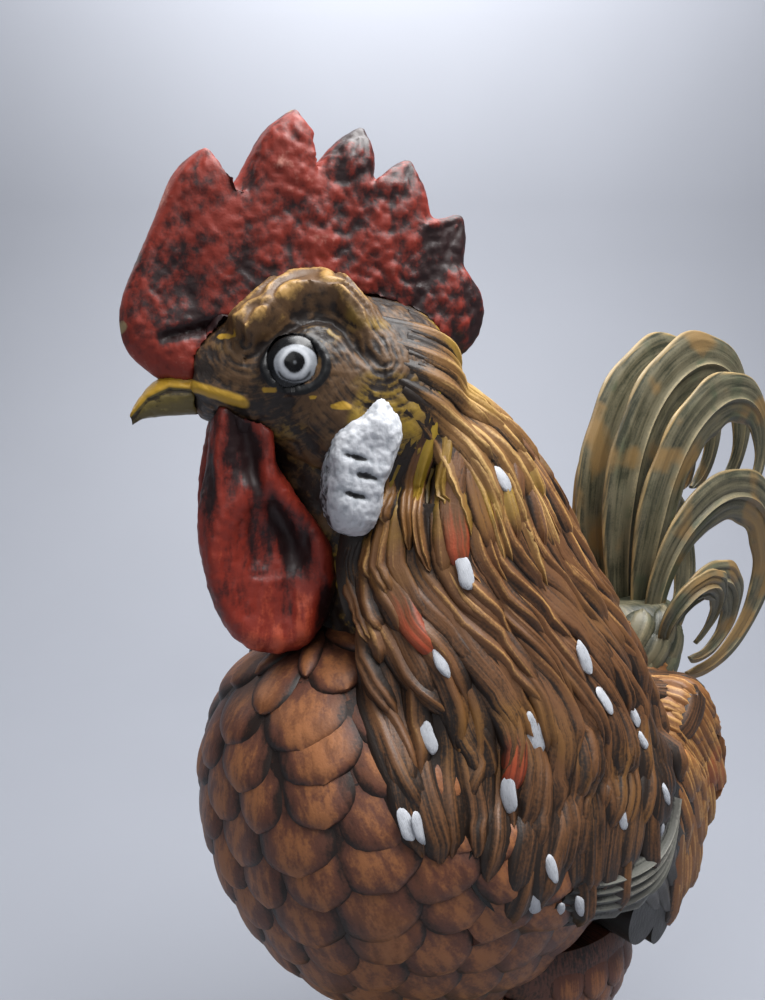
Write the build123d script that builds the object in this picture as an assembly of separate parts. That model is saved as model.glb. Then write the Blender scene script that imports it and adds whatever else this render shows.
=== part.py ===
from build123d import *
import os
from math import cos, pi, radians, sin

# Standing cast rooster on an oval base. Millimetres, +Z up, origin at the centre of the base underside.
# The bird faces -Y and its left side is +X.

# Fit between castings
glue_line = 0.15

# Base
felt_thickness = 2.0
felt_inset = 3.0
base_thickness = 26.0
base_half_width = 98.0
base_half_length = 116.0
base_top_inset = 13.0
base_wall = 11.0
base_waist_share = 0.45
base_waist_inset_share = 0.25
base_roof = 12.0

# Leg rods, nuts and washers
leg_spread = 37.0
leg_set_back = 30.0
rod_radius = 3.0
rod_tail = 7.0
rod_reach = 42.0
nut_flats = 10.0
nut_thickness = 5.0
washer_radius = 9.0
washer_thickness = 1.6

# Shanks and feet
hock_height = 110.0
ankle_radius = 11.0
shank_radius = 8.8
hock_radius = 11.5
toe_root_radius = 7.8
toe_tip_radius = 4.6
front_toe_length = 50.0
back_toe_length = 22.0
middle_toe_extra = 6.0
toe_spread = 30.0
back_toe_turn = 20.0
knuckle_place = 0.55
knuckle_swell = 0.85
# Share of the claw's length, then height, radius and downward turn as shares of the toe's end
claw_stations = ((0.6, 0.9, 0.6, 0.5), (1, 0.3, 0.2, 1))
claw_length = 11.0
spur_length = 13.0
spur_radius = 4.0
spur_height = 62.0
spur_set_back = 4.0
spur_heading = (1, 0.7, 0.1)
spur_taper = 9.0
# Share of the shank's rise, place back of its axis, and radius over the slimmest place
shank_rings = [(0.16, 0, 1.0), (0.5, 1, 0), (0.82, 2, 1.7)]
hock_set_back = 2.0

# Thighs
thigh_bottom_radius = 13.0
thigh_half_width = 27.0
thigh_half_depth = 36.0
thigh_top_rise = 62.0
# Share of the rise, places outward and back of the rod, share of the swell across and along
thigh_rings = [(0, 0, 2, 0, 0), (0.25, 1, 2, 0.35, 0.4), (0.6, 3, -2, 1, 0.9), (1, 4, -4, 1, 1)]

# Torso
torso_front = 89.0
torso_rear = 115.0
torso_half_width = 75.0
torso_half_height = 78.0
torso_axis_height = 214.0
# Stations along the trunk, as shares of its reach ahead (negative) and behind
torso_shares = (-0.985, -0.9, -0.68, -0.36, 0, 0.34, 0.64, 0.86, 0.975)
torso_front_power = 2.3
torso_rear_power = 1.7
rump_lift_power = 1.5
breast_lift = 14.0
rump_lift = 20.0
body_wall = 6.0
boss_radius = 11.0

# Head place and neck core. The skull's stations are places ahead of the pivot, height, half width and half height.
head_stations = [
    (43, -4, 11, 11), (31, -3, 17, 19), (12, -4, 23.5, 28), (-10, -12, 28.5, 37), (-30, -15, 28, 35), (-44, -18, 18, 22),
]
head_forward = 50.0
eye_height = 381.0
head_turn = 25.0
neck_set_back = 17.0
neck_root_radius = 60.0
neck_root_place = 6.0
neck_root_share = 0.6
# Share of the neck's rise and of its way forward
neck_shares = ((0, 0), (0.45, 0.25), (0.82, 0.7), (1, 1))
neck_top_radius = 23.0
neck_top_drop = 36.0
spigot_radius = 14.0
spigot_length = 13.0
spigot_bore = 8.0

# Eyes
eye_radius = 9.0
eye_dome = 3.5
eye_depth = 6.0
eye_forward = 12.0
eye_side = 22.0
eye_turn = 8.0

# Comb, seen from the bird's left as (distance behind the head's pivot, height above it)
comb_thickness = 19.0
comb_outline = [
    (35, 4), (47, 1), (55, 8), (58, 19), (55, 28), (50.5, 35), (51, 44), (46, 49), (39, 49), (36, 60), (30, 66), (23, 65),
    (18.5, 61), (17, 72), (11, 76), (3, 71), (-3, 65), (-4, 75), (-8, 80), (-17, 77), (-25, 64), (-31, 57), (-37, 65),
    (-42, 66), (-51, 53), (-61, 32), (-66, 14), (-64.5, 6), (-58, -2), (-49, -8), (-38, -7), (-25, 8), (-8, 18), (8, 20),
    (22, 14),
]
# Share of the half thickness and scale of the outline there
comb_layers = [(-1, 0.78), (-0.66, 0.93), (0, 1), (0.66, 0.93), (1, 0.78)]
comb_tenon_length = 42.0
comb_tenon_thickness = 6.0
comb_tenon_depth = 9.0
comb_seat_height = 23.0

# Beak: places ahead of the pivot, height, half width and half height
beak_stations = [(32, -9, 9, 7), (43, -9.5, 8, 7), (51, -10.3, 6.4, 6.7), (58, -13, 4, 4.6), (63.5, -18.5, 1.2, 1.8)]
beak_tenon_radius = 4.0
beak_tenon_length = 12.0

# Wattles
wattle_thickness = 13.0
wattle_gap = 2.0
wattle_outline = [
    (-37, -12), (-42, -44), (-41, -70), (-30, -92), (-15, -97), (0, -88), (3, -71), (-7, -50), (-18, -33), (-24, -12),
]
# Share of the thickness and scale of the outline there
wattle_layers = [(0, 0.86), (0.3, 1), (0.65, 0.98), (1, 0.82)]
wattle_dish_radius = 34.0
wattle_dish_depth = 3.0
wattle_dish_place = -20.0
wattle_dish_drop = 58.0

# Ear lobes
lobe_outline = [(17, -11), (21.5, -22), (16, -38), (10, -54), (3, -54), (-2.5, -38), (0, -24), (8, -15)]
# Share of the rise and scale of the outline there
lobe_layers = [(0, 1), (0.7, 1), (0.9, 0.86), (1, 0.6)]
lobe_inner = 12.0
lobe_outer = 34.0

# Hackle cape
# Heights, centre across and along, half width and half length
cape_rings = [
    (374, 8, -22, 20, 20), (360, 6, -15, 34, 33), (343, 3, -8, 44, 45), (316, 0, -2, 55, 57), (289, 0, 3, 65, 67),
    (261, 0, 8, 75, 76), (228, 0, 8, 83, 84), (188, 0, 8, 87, 84),
]
cape_locks = 24
lock_rise = 5.0
lock_sink_share = 0.6
lock_wave_share = 0.5
lock_wave_length = 120.0
lock_turn = 5.0
hem_low_height = 200.0
hem_low_place = 35.0
hem_front_rise = 0.0042
hem_back_rise = 0.020
hem_tip_pitch = 12.0
hem_tip_length = 11.0
throat_left = 17.0
throat_right = 30.0
throat_spread = 0.40
throat_height = 316.0
cheek_line = 30.0
cheek_drop = 20.0

# Wings, outline seen from the bird's left as (place along Y, height), and the tips of the long feathers
wing_front_edge = [(-34, 239), (-46, 226), (-36, 210), (-8, 197), (28, 189)]
wing_tip_notches = [(28, 189), (46, 173), (62, 165), (76, 171), (85, 184), (88, 200), (85, 216)]
wing_top_edge = [(85, 216), (60, 238), (0, 245), (-34, 239)]
covert_front_edge = [(-30, 236), (-40, 225), (-31, 214), (-10, 206)]
covert_tip_notches = [(-10, 206), (4, 203), (18, 200.5), (32, 199), (45, 201), (55, 207), (62, 217)]
covert_top_edge = [(62, 217), (48, 232), (8, 239), (-30, 236)]
covert_rise = 2.5
wing_tip_bow = 0.42
wing_outer = 81.0
wing_inner = 56.0
wing_bulge_radius = 220.0
wing_bulge_place = 15.0
wing_bulge_height = 206.0
wing_pocket_gap = 0.4
wing_pocket_growth = 1.012
wing_pocket_middle = 66.0
wing_pin_radius = 2.5
wing_pin_length = 14.0
wing_pin_places = (-10.0, 34.0)

# Saddle feathers, outline and tips as for the wing
saddle_front_edge = [(88, 250), (78, 236), (74, 212), (76, 186)]
saddle_tip_notches = [(76, 186), (83, 173), (92, 169), (101, 173), (109, 183), (115, 197), (118, 213)]
saddle_top_edge = [(118, 213), (114, 232), (104, 246), (88, 250)]
saddle_outer = 61.0
saddle_inner = 38.0
saddle_bulge_radius = 130.0
saddle_bulge_place = 92.0
saddle_bulge_height = 214.0

# Tail
tail_place = 110.0
tail_root_height = 250.0
tail_root_half_width = 36.0
tail_root_half_length = 27.0
tail_root_rise = 26.0
plume_base_height = 262.0
# Lift as a share of the rise, place back, and share of the full size
tail_root_rings = [(-1, -8, 0.7), (0, -2, 1), (0.65, 1, 0.94), (1, 2, 0.7)]
plume_steps = 60
plume_section_gap = 6
plume_root_share = 0.5
plume_tip_share = 0.2
plume_full_from = 0.25
plume_full_to = 0.55
tail_pin_radius = 4.0
tail_pin_length = 46.0
tail_pin_slope = 40.0

# Plumes of one side: place of the base across and along, length, lean at the base in degrees, whole turn in
# degrees, how late the turn comes, width, thickness and outward splay in degrees
plumes = {
    "main_sickle": (6, 7, 245, -10, 262, 1.95, 34, 6.5, 1.5),
    "inner_plume": (13.5, 9, 205, -2, 235, 2.1, 30, 6.0, 5),
    "covert_sickle": (21, 8, 240, -14, 298, 1.02, 26, 6.0, 8),
    "small_curl": (28, 8, 112, 24, 270, 1.3, 19, 5.0, 12),
    "root_curl": (34, -2, 84, -34, 262, 0.9, 15, 4.5, 20),
}

base_top = felt_thickness + base_thickness
cavity_roof = base_top - base_roof
head_place = Location((0, -head_forward, eye_height), (0, 0, -head_turn))


def ring_loft(rings):
    """Smooth solid through horizontal ellipses given as (x, y, z, half width, half length)."""
    return loft([Pos(x, y, z) * Ellipse(half_x, half_y) for x, y, z, half_x, half_y in rings])


def cross_loft(stations):
    """Smooth solid through upright ellipses along Y given as (y, z, half width, half height)."""
    faces = []
    for y, z, half_x, half_z in stations:
        faces.append(Plane((0, y, z), x_dir=(1, 0, 0), z_dir=(0, 1, 0)) * Ellipse(half_x, half_z))
    return loft(faces)


def side_prism(face, inner, outer):
    """Prism of a side outline, drawn in (y, z), from one X place to another."""
    plane = Plane((inner, 0, 0), x_dir=(0, 1, 0), z_dir=(1, 0, 0))
    return extrude(plane * face, outer - inner)


def mirrored(part):
    """The same piece on the bird's right side."""
    return mirror(part, Plane.YZ)


def torso(grow=0.0):
    """Egg-shaped trunk, blunt at the breast and drawn up at the rump."""
    stations = []
    for share in torso_shares:
        power = torso_front_power if share < 0 else torso_rear_power
        swell = (1 - abs(share) ** power) ** (1 / power)
        reach = torso_front if share < 0 else torso_rear
        lift = breast_lift * share ** 2 if share < 0 else rump_lift * share ** rump_lift_power
        stretch = 1 + grow / reach
        stations.append((
            share * reach * stretch,
            torso_axis_height + lift,
            torso_half_width * swell + grow,
            torso_half_height * swell + grow,
        ))
    return cross_loft(stations)


def neck_top():
    """Place where the neck core meets the head."""
    turn = radians(head_turn)
    return (
        neck_set_back * sin(turn),
        neck_set_back * cos(turn) - head_forward,
        eye_height - neck_top_drop,
    )


def neck_core(grow=0.0):
    """Tapering neck from the trunk up to the head."""
    x, y, z = neck_top()
    root_z = torso_axis_height + neck_root_share * torso_half_height
    rings = []
    for share, ahead in neck_shares:
        radius = neck_root_radius + (neck_top_radius - neck_root_radius) * share + grow
        place = neck_root_place + (y - neck_root_place) * ahead
        rings.append((x * ahead, place, root_z + (z - root_z) * share, radius, radius))
    last_x, last_y, last_z, last_rx, last_ry = rings[-1]
    rings[-1] = (last_x, last_y, last_z + grow, last_rx, last_ry)
    return ring_loft(rings)


def neck_spigot(grow=0.0):
    """Round stub on the neck core that the head slips over."""
    x, y, z = neck_top()
    return Pos(x, y, z - body_wall) * extrude(Circle(spigot_radius + grow), spigot_length + body_wall + grow)


def body_outside(grow=0.0):
    return torso(grow) + neck_core(grow) + neck_spigot(grow)


def at_legs(shape):
    """A shape standing at each leg's axis."""
    places = [Pos(leg_spread, leg_set_back, 0), Pos(-leg_spread, leg_set_back, 0)]
    return [place * shape for place in places]


def rod_top():
    return torso_axis_height - torso_half_height + rod_reach


def leg_rod(grow=0.0):
    """Steel rod from inside the base up into the body."""
    low = cavity_roof - rod_tail - washer_thickness
    return Pos(0, 0, low) * extrude(Circle(rod_radius + grow), rod_top() + grow - low)


def body_casting():
    shell = body_outside() - torso(-body_wall) - neck_core(-body_wall)
    x, y, z = neck_top()
    shell -= Pos(x, y, z - 3 * body_wall) * extrude(Circle(spigot_bore), spigot_length + 4 * body_wall)
    boss = extrude(Circle(boss_radius), rod_top() + body_wall)
    trunk = torso()
    for placed in at_legs(boss):
        shell += placed & trunk
    for placed in at_legs(leg_rod(glue_line)):
        shell -= placed
    return shell - tail_pin(glue_line) - wing_pin_set(glue_line)


def base_casting():
    """Oval mound, hollow below, with clearance holes for the leg rods."""
    waist = base_top - base_waist_share * base_thickness
    waist_inset = base_waist_inset_share * base_top_inset
    top_x = base_half_width - base_top_inset
    top_y = base_half_length - base_top_inset
    mound = ring_loft([
        (0, 0, felt_thickness, base_half_width, base_half_length),
        (0, 0, waist, base_half_width - waist_inset, base_half_length - waist_inset),
        (0, 0, base_top, top_x, top_y),
    ])
    hollow = Ellipse(base_half_width - base_wall, base_half_length - base_wall)
    mound -= Pos(0, 0, felt_thickness) * extrude(hollow, cavity_roof - felt_thickness)
    for placed in at_legs(leg_rod(glue_line)):
        mound -= placed
    return mound


def base_felt():
    return extrude(Ellipse(base_half_width - felt_inset, base_half_length - felt_inset), felt_thickness)


def washer():
    ring = Circle(washer_radius) - Circle(rod_radius + glue_line)
    return Pos(0, 0, cavity_roof - washer_thickness) * extrude(ring, washer_thickness)


def nut():
    hexagon = RegularPolygon(nut_flats / 2, 6, major_radius=False) - Circle(rod_radius + glue_line)
    return Pos(0, 0, cavity_roof - washer_thickness - nut_thickness) * extrude(hexagon, nut_thickness)


def toe(length):
    """Toe lying forward along -Y from the ankle, ending in a claw bent to the ground."""
    x_axis = (1, 0, 0)
    ahead = (0, -1, 0)
    root = Plane((0, 0, toe_root_radius), x_dir=x_axis, z_dir=ahead) * Circle(toe_root_radius)
    knuckle = Plane((0, -knuckle_place * length, toe_root_radius), x_dir=x_axis, z_dir=ahead)
    end = Plane((0, -length, toe_tip_radius), x_dir=x_axis, z_dir=ahead) * Circle(toe_tip_radius)
    flesh = loft([root, knuckle * Circle(knuckle_swell * toe_root_radius), end])
    sections = [end]
    for along, height, radius, dip in claw_stations:
        place = (0, -length - along * claw_length, height * toe_tip_radius)
        sections.append(Plane(place, x_dir=x_axis, z_dir=(0, -1, -dip)) * Circle(radius * toe_tip_radius))
    return flesh + loft(sections)


def shank(side):
    """Scaly shank with three toes in front, one behind and a spur inside."""
    height = hock_height - base_top
    rings = [(0, 0, 0, ankle_radius, ankle_radius)]
    for share, back, extra in shank_rings:
        rings.append((0, back, share * height, shank_radius + extra, shank_radius + extra))
    rings.append((0, hock_set_back, height, hock_radius, hock_radius))
    leg = ring_loft(rings)
    leg += toe(front_toe_length + middle_toe_extra)
    for angle in (-toe_spread, toe_spread):
        leg += Rot(0, 0, angle) * toe(front_toe_length)
    leg += Rot(0, 0, 180 - side * back_toe_turn) * toe(back_toe_length)
    inward, back, up = spur_heading
    spur_base = Plane((0, spur_set_back, spur_height - base_top), x_dir=(0, 1, 0), z_dir=(-side * inward, back, up))
    leg += extrude(spur_base * Circle(spur_radius), shank_radius + spur_length, taper=spur_taper)
    return Pos(side * leg_spread, leg_set_back, base_top) * leg


def shank_casting(side):
    below = Pos(0, 0, base_top - base_thickness / 2) * Box(4 * leg_spread, 4 * front_toe_length, base_thickness)
    return shank(side) - below - Pos(side * leg_spread, leg_set_back, 0) * leg_rod(glue_line)


def thigh_casting(side):
    """Feathered drumstick from the hock up to its seat on the trunk, clear of the wing."""
    spread = side * leg_spread
    rings = []
    for share, outward, back, width_share, depth_share in thigh_rings:
        rings.append((
            spread + side * outward,
            leg_set_back + back,
            hock_height + thigh_top_rise * share,
            thigh_bottom_radius + (thigh_half_width - thigh_bottom_radius) * width_share,
            thigh_bottom_radius + (thigh_half_depth - thigh_bottom_radius) * depth_share,
        ))
    rod = Pos(spread, leg_set_back, 0) * leg_rod(glue_line)
    return ring_loft(rings) - torso(glue_line) - rod - wing_pocket(side)


def head_form(grow=0.0):
    """Skull from the beak seat back to the nape, in the head's own frame."""
    stations = []
    for ahead, up, half_width, half_height in head_stations:
        end = grow * (ahead == head_stations[0][0]) - grow * (ahead == head_stations[-1][0])
        stations.append((-ahead - end, up, half_width + grow, half_height + grow))
    return cross_loft(stations)


def eye_seat(side):
    """Frame of an eye: origin on the cheek, Z pointing out."""
    turn = radians(eye_turn)
    return Plane((side * eye_side, -eye_forward, 0), x_dir=(0, 0, 1), z_dir=(side * cos(turn), -sin(turn), 0))


def eye(side, grow=0.0):
    """Domed eye with a short barrel sunk in its socket."""
    ball_radius = (eye_radius ** 2 + eye_dome ** 2) / (2 * eye_dome)
    barrel = Pos(0, 0, -eye_depth - grow) * extrude(Circle(eye_radius + grow), eye_depth + eye_dome + 2 * grow)
    ball = Pos(0, 0, eye_dome - ball_radius) * Sphere(ball_radius + grow)
    return eye_seat(side) * (barrel & ball)


def pillow(outline, layers, grow=0.0):
    """Solid through copies of one smooth side outline, given as layers of (x place, scale about its middle)."""
    middle_y = sum(y for y, z in outline) / len(outline)
    middle_z = sum(z for y, z in outline) / len(outline)
    reach = max(abs(y - middle_y) + abs(z - middle_z) for y, z in outline)
    faces = []
    for x, scale in layers:
        stretch = scale * (1 + 2 * grow / reach)
        points = []
        for y, z in outline:
            points.append((x, middle_y + (y - middle_y) * stretch, middle_z + (z - middle_z) * stretch))
        faces.append(make_face(Spline(*points, periodic=True)))
    return loft(faces)


def comb_tenon(grow=0.0):
    """Tongue under the comb that stands in a slot in the crown."""
    height = comb_tenon_depth + comb_seat_height + grow
    tongue = Box(comb_tenon_thickness + 2 * grow, comb_tenon_length + 2 * grow, height)
    return Pos(0, 0, comb_seat_height - comb_tenon_depth - grow + height / 2) * tongue


def comb():
    """Single comb, thick at its root and thin at its points, seated on the crown."""
    half = comb_thickness / 2
    blade = pillow(comb_outline, [(share * half, scale) for share, scale in comb_layers])
    blade = blade - head_form(glue_line) - beak_form(glue_line)
    return blade + (comb_tenon() & head_form(comb_tenon_depth))


def beak_form(grow=0.0):
    """Curved beak, in the head's own frame."""
    tip = beak_stations[-1][0]
    stations = []
    for ahead, up, half_width, half_height in beak_stations:
        stations.append((-ahead - grow * (ahead == tip), up, half_width + grow, half_height + grow))
    return cross_loft(stations)


def beak_tenon(grow=0.0):
    """Round stub behind the beak, let into the skull."""
    skull_front = head_stations[0][0]
    start = Plane((0, -skull_front - beak_tenon_radius, beak_stations[1][1]), x_dir=(1, 0, 0), z_dir=(0, 1, 0))
    return start * extrude(Circle(beak_tenon_radius + grow), beak_tenon_radius + beak_tenon_length + grow)


def beak():
    return beak_form() - head_form(glue_line) + beak_tenon()


def wattle(side, grow=0.0):
    """Dished lobe hanging under the cheek, in the head's own frame."""
    inner = wattle_gap - grow
    thick = wattle_thickness + 2 * grow
    lobe = pillow(wattle_outline, [(inner + share * thick, scale) for share, scale in wattle_layers], grow)
    dish_x = wattle_gap + wattle_thickness - wattle_dish_depth + wattle_dish_radius
    lobe -= Pos(dish_x, wattle_dish_place, -wattle_dish_drop) * Sphere(wattle_dish_radius - grow)
    return lobe if side > 0 else mirrored(lobe)


def wattle_casting(side):
    lobe = wattle(side) - head_form(glue_line) - beak_form(glue_line)
    return head_place * lobe - body_outside(glue_line)


def ear_lobe(side, grow=0.0):
    """Raised spindle-shaped lobe below and behind the eye, in the head's own frame."""
    rise = lobe_outer + grow - lobe_inner
    lobe = pillow(lobe_outline, [(lobe_inner + share * rise, scale) for share, scale in lobe_layers], grow)
    return lobe if side > 0 else mirrored(lobe)


def ear_lobe_casting(side):
    return head_place * (ear_lobe(side) - head_form(glue_line)) - body_outside(glue_line)


def cape_form():
    """Cloak of waving feather locks, widening from the nape to the shoulders."""
    widest = max(half_x for z, x, y, half_x, half_y in cape_rings)
    pitch = 2 * pi / cape_locks
    faces = []
    for z, x, y, half_x, half_y in cape_rings:
        rise = lock_rise * half_x / widest
        sink = lock_sink_share * rise
        swing = radians(lock_turn) + lock_wave_share * pitch * sin(2 * pi * z / lock_wave_length)
        points = []
        for half_step in range(2 * cape_locks + 1):
            angle = swing + half_step * pitch / 2
            out = rise - sink if half_step % 2 else -sink
            points.append((x + (half_x + out) * cos(angle), y + (half_y + out) * sin(angle), z))
        locks = [ThreePointArc(*points[2 * i:2 * i + 3]) for i in range(cape_locks)]
        faces.append(make_face(Wire(locks)))
    return loft(faces)


def hem_height(place):
    """Height of the cape's hem at a place along Y: lowest beside the wing, rising to the breast and the back."""
    rate = hem_front_rise if place < hem_low_place else hem_back_rise
    return hem_low_height + rate * (place - hem_low_place) ** 2


def hem_cutter():
    """Everything below the pointed hem of the cape, seen from the side."""
    count = round((torso_front + torso_rear) / hem_tip_pitch)
    below = hem_low_height - torso_half_height
    points = [(-torso_front, below)]
    for tip in range(count + 1):
        place = -torso_front + tip * hem_tip_pitch
        points.append((place, hem_height(place)))
        points.append((place + hem_tip_pitch / 2, hem_height(place + hem_tip_pitch / 2) + hem_tip_length))
    points.append((points[-1][0], below))
    face = make_face(Polyline(*points, close=True))
    return side_prism(face, -2 * torso_half_width, 2 * torso_half_width)


def throat_cutter():
    """Opening of the cape under the wattles and in front of the ear lobes."""
    low = hem_low_height - hem_tip_length
    high = throat_height + throat_left + throat_right
    spread = throat_spread * (throat_height - low)
    front = Plane((0, 0, 0), x_dir=(1, 0, 0), z_dir=(0, -1, 0))
    wedge = make_face(Polyline(
        (-throat_right, high), (-throat_right, throat_height), (-throat_right - spread, low),
        (throat_left + spread, low), (throat_left, throat_height), (throat_left, high), close=True))
    opening = extrude(front * wedge, 2 * torso_front)
    face = make_face(Polyline(
        (-cheek_line, cape_rings[0][0] + 1), (-cheek_line, throat_height + cheek_drop),
        (-2 * torso_front, throat_height + cheek_drop), (-2 * torso_front, cape_rings[0][0] + 1), close=True))
    return opening + side_prism(face, -2 * torso_half_width, 2 * torso_half_width)


def hackle_cape():
    cape = cape_form() - hem_cutter() - throat_cutter() - body_outside(glue_line)
    cape -= head_place * head_form(glue_line)
    for side in (1, -1):
        cape -= head_place * ear_lobe(side, glue_line)
        cape -= head_place * wattle(side, glue_line)
        cape -= wing_pocket(side)
    return max(cape.solids(), key=lambda solid: solid.volume)


def tip_points(tip_notches):
    """Outermost point of each rounded feather tip between two notches."""
    tips = []
    for (y1, z1), (y2, z2) in zip(tip_notches, tip_notches[1:]):
        tips.append(((y1 + y2) / 2 + wing_tip_bow * (z2 - z1), (z1 + z2) / 2 - wing_tip_bow * (y2 - y1)))
    return tips


def feather_face(front_edge, tip_notches, top_edge):
    """Face bounded by smooth front and top edges and a row of rounded feather tips."""
    edges = Spline(*front_edge) + Spline(*top_edge)
    for start, tip, end in zip(tip_notches, tip_points(tip_notches), tip_notches[1:]):
        edges += ThreePointArc(start, tip, end)
    return make_face(edges)


def wing_form(side):
    """Folded wing: a bulged shield with long feather tips and a raised row of coverts."""
    shield_face = feather_face(wing_front_edge, wing_tip_notches, wing_top_edge)
    covert_face = feather_face(covert_front_edge, covert_tip_notches, covert_top_edge)
    wing = None
    for face, outer in ((shield_face, wing_outer), (covert_face, wing_outer + covert_rise)):
        centre = (outer - wing_bulge_radius, wing_bulge_place, wing_bulge_height)
        bulge = Pos(*centre) * Sphere(wing_bulge_radius)
        layer = side_prism(face, wing_inner, wing_outer + wing_inner) & bulge
        wing = layer if wing is None else wing + layer
    return wing if side > 0 else mirrored(wing)


def wing_pocket(side):
    """Room for the folded wing in the castings that lie against it, with a gap all round."""
    edges = []
    for edge in (wing_front_edge, wing_tip_notches, wing_top_edge):
        edges.append([(
            wing_pocket_middle + (y - wing_pocket_middle) * wing_pocket_growth,
            wing_bulge_height + (z - wing_bulge_height) * wing_pocket_growth,
        ) for y, z in edge])
    pocket = side_prism(feather_face(*edges), wing_inner - wing_pocket_gap, wing_outer + wing_inner)
    return pocket if side > 0 else mirrored(pocket)


def wing_casting(side):
    return wing_form(side) - torso(glue_line) - wing_pin_set(glue_line)


def wing_pin_set(grow=0.0):
    """Dowels from the trunk wall into each wing, two a side."""
    pins = []
    for side in (1, -1):
        start = side * (torso_half_width - body_wall - wing_pin_length / 3 - grow)
        for place in wing_pin_places:
            axis = Plane((start, place, wing_bulge_height), x_dir=(0, 1, 0), z_dir=(side, 0, 0))
            pins.append(axis * extrude(Circle(wing_pin_radius + grow), wing_pin_length + 2 * grow))
    return Compound(children=pins)


def saddle_casting(side):
    """Curtain of long rump feathers behind the wing."""
    face = feather_face(saddle_front_edge, saddle_tip_notches, saddle_top_edge)
    centre = (saddle_outer - saddle_bulge_radius, saddle_bulge_place, saddle_bulge_height)
    curtain = side_prism(face, saddle_inner, saddle_outer + saddle_inner) & Pos(*centre) * Sphere(saddle_bulge_radius)
    curtain = curtain - torso(glue_line) - wing_pocket(1)
    return curtain if side > 0 else mirrored(curtain)


def plume(name, grow=0.0):
    """Arched feather: a lens section carried along a path that turns ever tighter, tapering to its tip."""
    across, along, length, lean, turn, lateness, width, thickness, splay = plumes[name]
    y = 0.0
    z = 0.0
    faces = []
    for step in range(plume_steps + 1):
        share = step / plume_steps
        heading = radians(lean + turn * share ** lateness)
        if step % plume_section_gap == 0:
            swell = plume_root_share + (1 - plume_root_share) * min(1, share / plume_full_from)
            swell -= (1 - plume_tip_share) * max(0, share - plume_full_to) / (1 - plume_full_to)
            half_width = width / 2 * swell + grow
            half_thick = thickness / 2 * max(swell, 2 * plume_tip_share) + grow
            plane = Plane((0, y, z), x_dir=(0, cos(heading), -sin(heading)), z_dir=(0, sin(heading), cos(heading)))
            upper = ThreePointArc((-half_width, 0), (0, half_thick), (half_width, 0))
            lower = ThreePointArc((half_width, 0), (0, -half_thick), (-half_width, 0))
            faces.append(plane * make_face(upper + lower))
        y += length / plume_steps * sin(heading)
        z += length / plume_steps * cos(heading)
    return Pos(across, tail_place + along, plume_base_height - grow) * Rot(0, splay, 0) * loft(faces)


def tail_pin(grow=0.0):
    """Steel dowel from the rump wall up into the tail root."""
    slope = radians(tail_pin_slope)
    middle = (0, tail_place - tail_root_half_length, tail_root_height - tail_root_rise / 2)
    start = Plane(middle, x_dir=(1, 0, 0), z_dir=(0, cos(slope), sin(slope)))
    half = tail_pin_length / 2 + grow
    return start * Pos(0, 0, -half) * extrude(Circle(tail_pin_radius + grow), 2 * half)


def tail_root():
    """Rounded block on the rump with a socket for each plume."""
    rings = []
    for lift, back, share in tail_root_rings:
        rings.append((0, tail_place + back, tail_root_height + lift * tail_root_rise, share * tail_root_half_width,
                      share * tail_root_half_length))
    block = ring_loft(rings) - torso(glue_line) - tail_pin(glue_line)
    for name in plumes:
        socket = plume(name, glue_line)
        block -= socket
        block -= mirrored(socket)
    return block


def head_casting():
    head = head_form() - comb_tenon(glue_line) - beak_tenon(glue_line)
    for side in (1, -1):
        head -= eye(side, glue_line)
    return head_place * head - body_outside(glue_line)


def make_pieces():
    """Every piece under its own name."""
    pieces = {
        "base_felt": base_felt(),
        "base_casting": base_casting(),
        "leg_rod_washers": Compound(children=at_legs(washer())),
        "leg_rod_nuts": Compound(children=at_legs(nut())),
        "body_casting": body_casting(),
        "wing_pins": wing_pin_set(),
        "hackle_cape": hackle_cape(),
        "head_casting": head_casting(),
        "comb": head_place * comb(),
        "beak": head_place * beak(),
        "tail_root": tail_root(),
        "tail_pin": tail_pin(),
    }
    for label, side in (("left", 1), ("right", -1)):
        pieces[label + "_leg_rod"] = Pos(side * leg_spread, leg_set_back, 0) * leg_rod()
        pieces[label + "_shank"] = shank_casting(side)
        pieces[label + "_thigh"] = thigh_casting(side)
        pieces[label + "_wing"] = wing_casting(side)
        pieces[label + "_saddle"] = saddle_casting(side)
        pieces[label + "_eye"] = head_place * eye(side)
        pieces[label + "_wattle"] = wattle_casting(side)
        pieces[label + "_ear_lobe"] = ear_lobe_casting(side)
        for name in plumes:
            feather = plume(name)
            pieces[label + "_" + name] = feather if side > 0 else mirrored(feather)
    return pieces


os.makedirs("parts", exist_ok=True)
for node, shape in make_pieces().items():
    export_step(shape, "parts/" + node + ".step")
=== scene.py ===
"""Painted cast rooster figure: feathers, face, comb, tail and base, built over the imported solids."""

import math

import bpy
import numpy as np
from mathutils import Matrix, Vector
from mathutils.bvhtree import BVHTree


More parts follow.
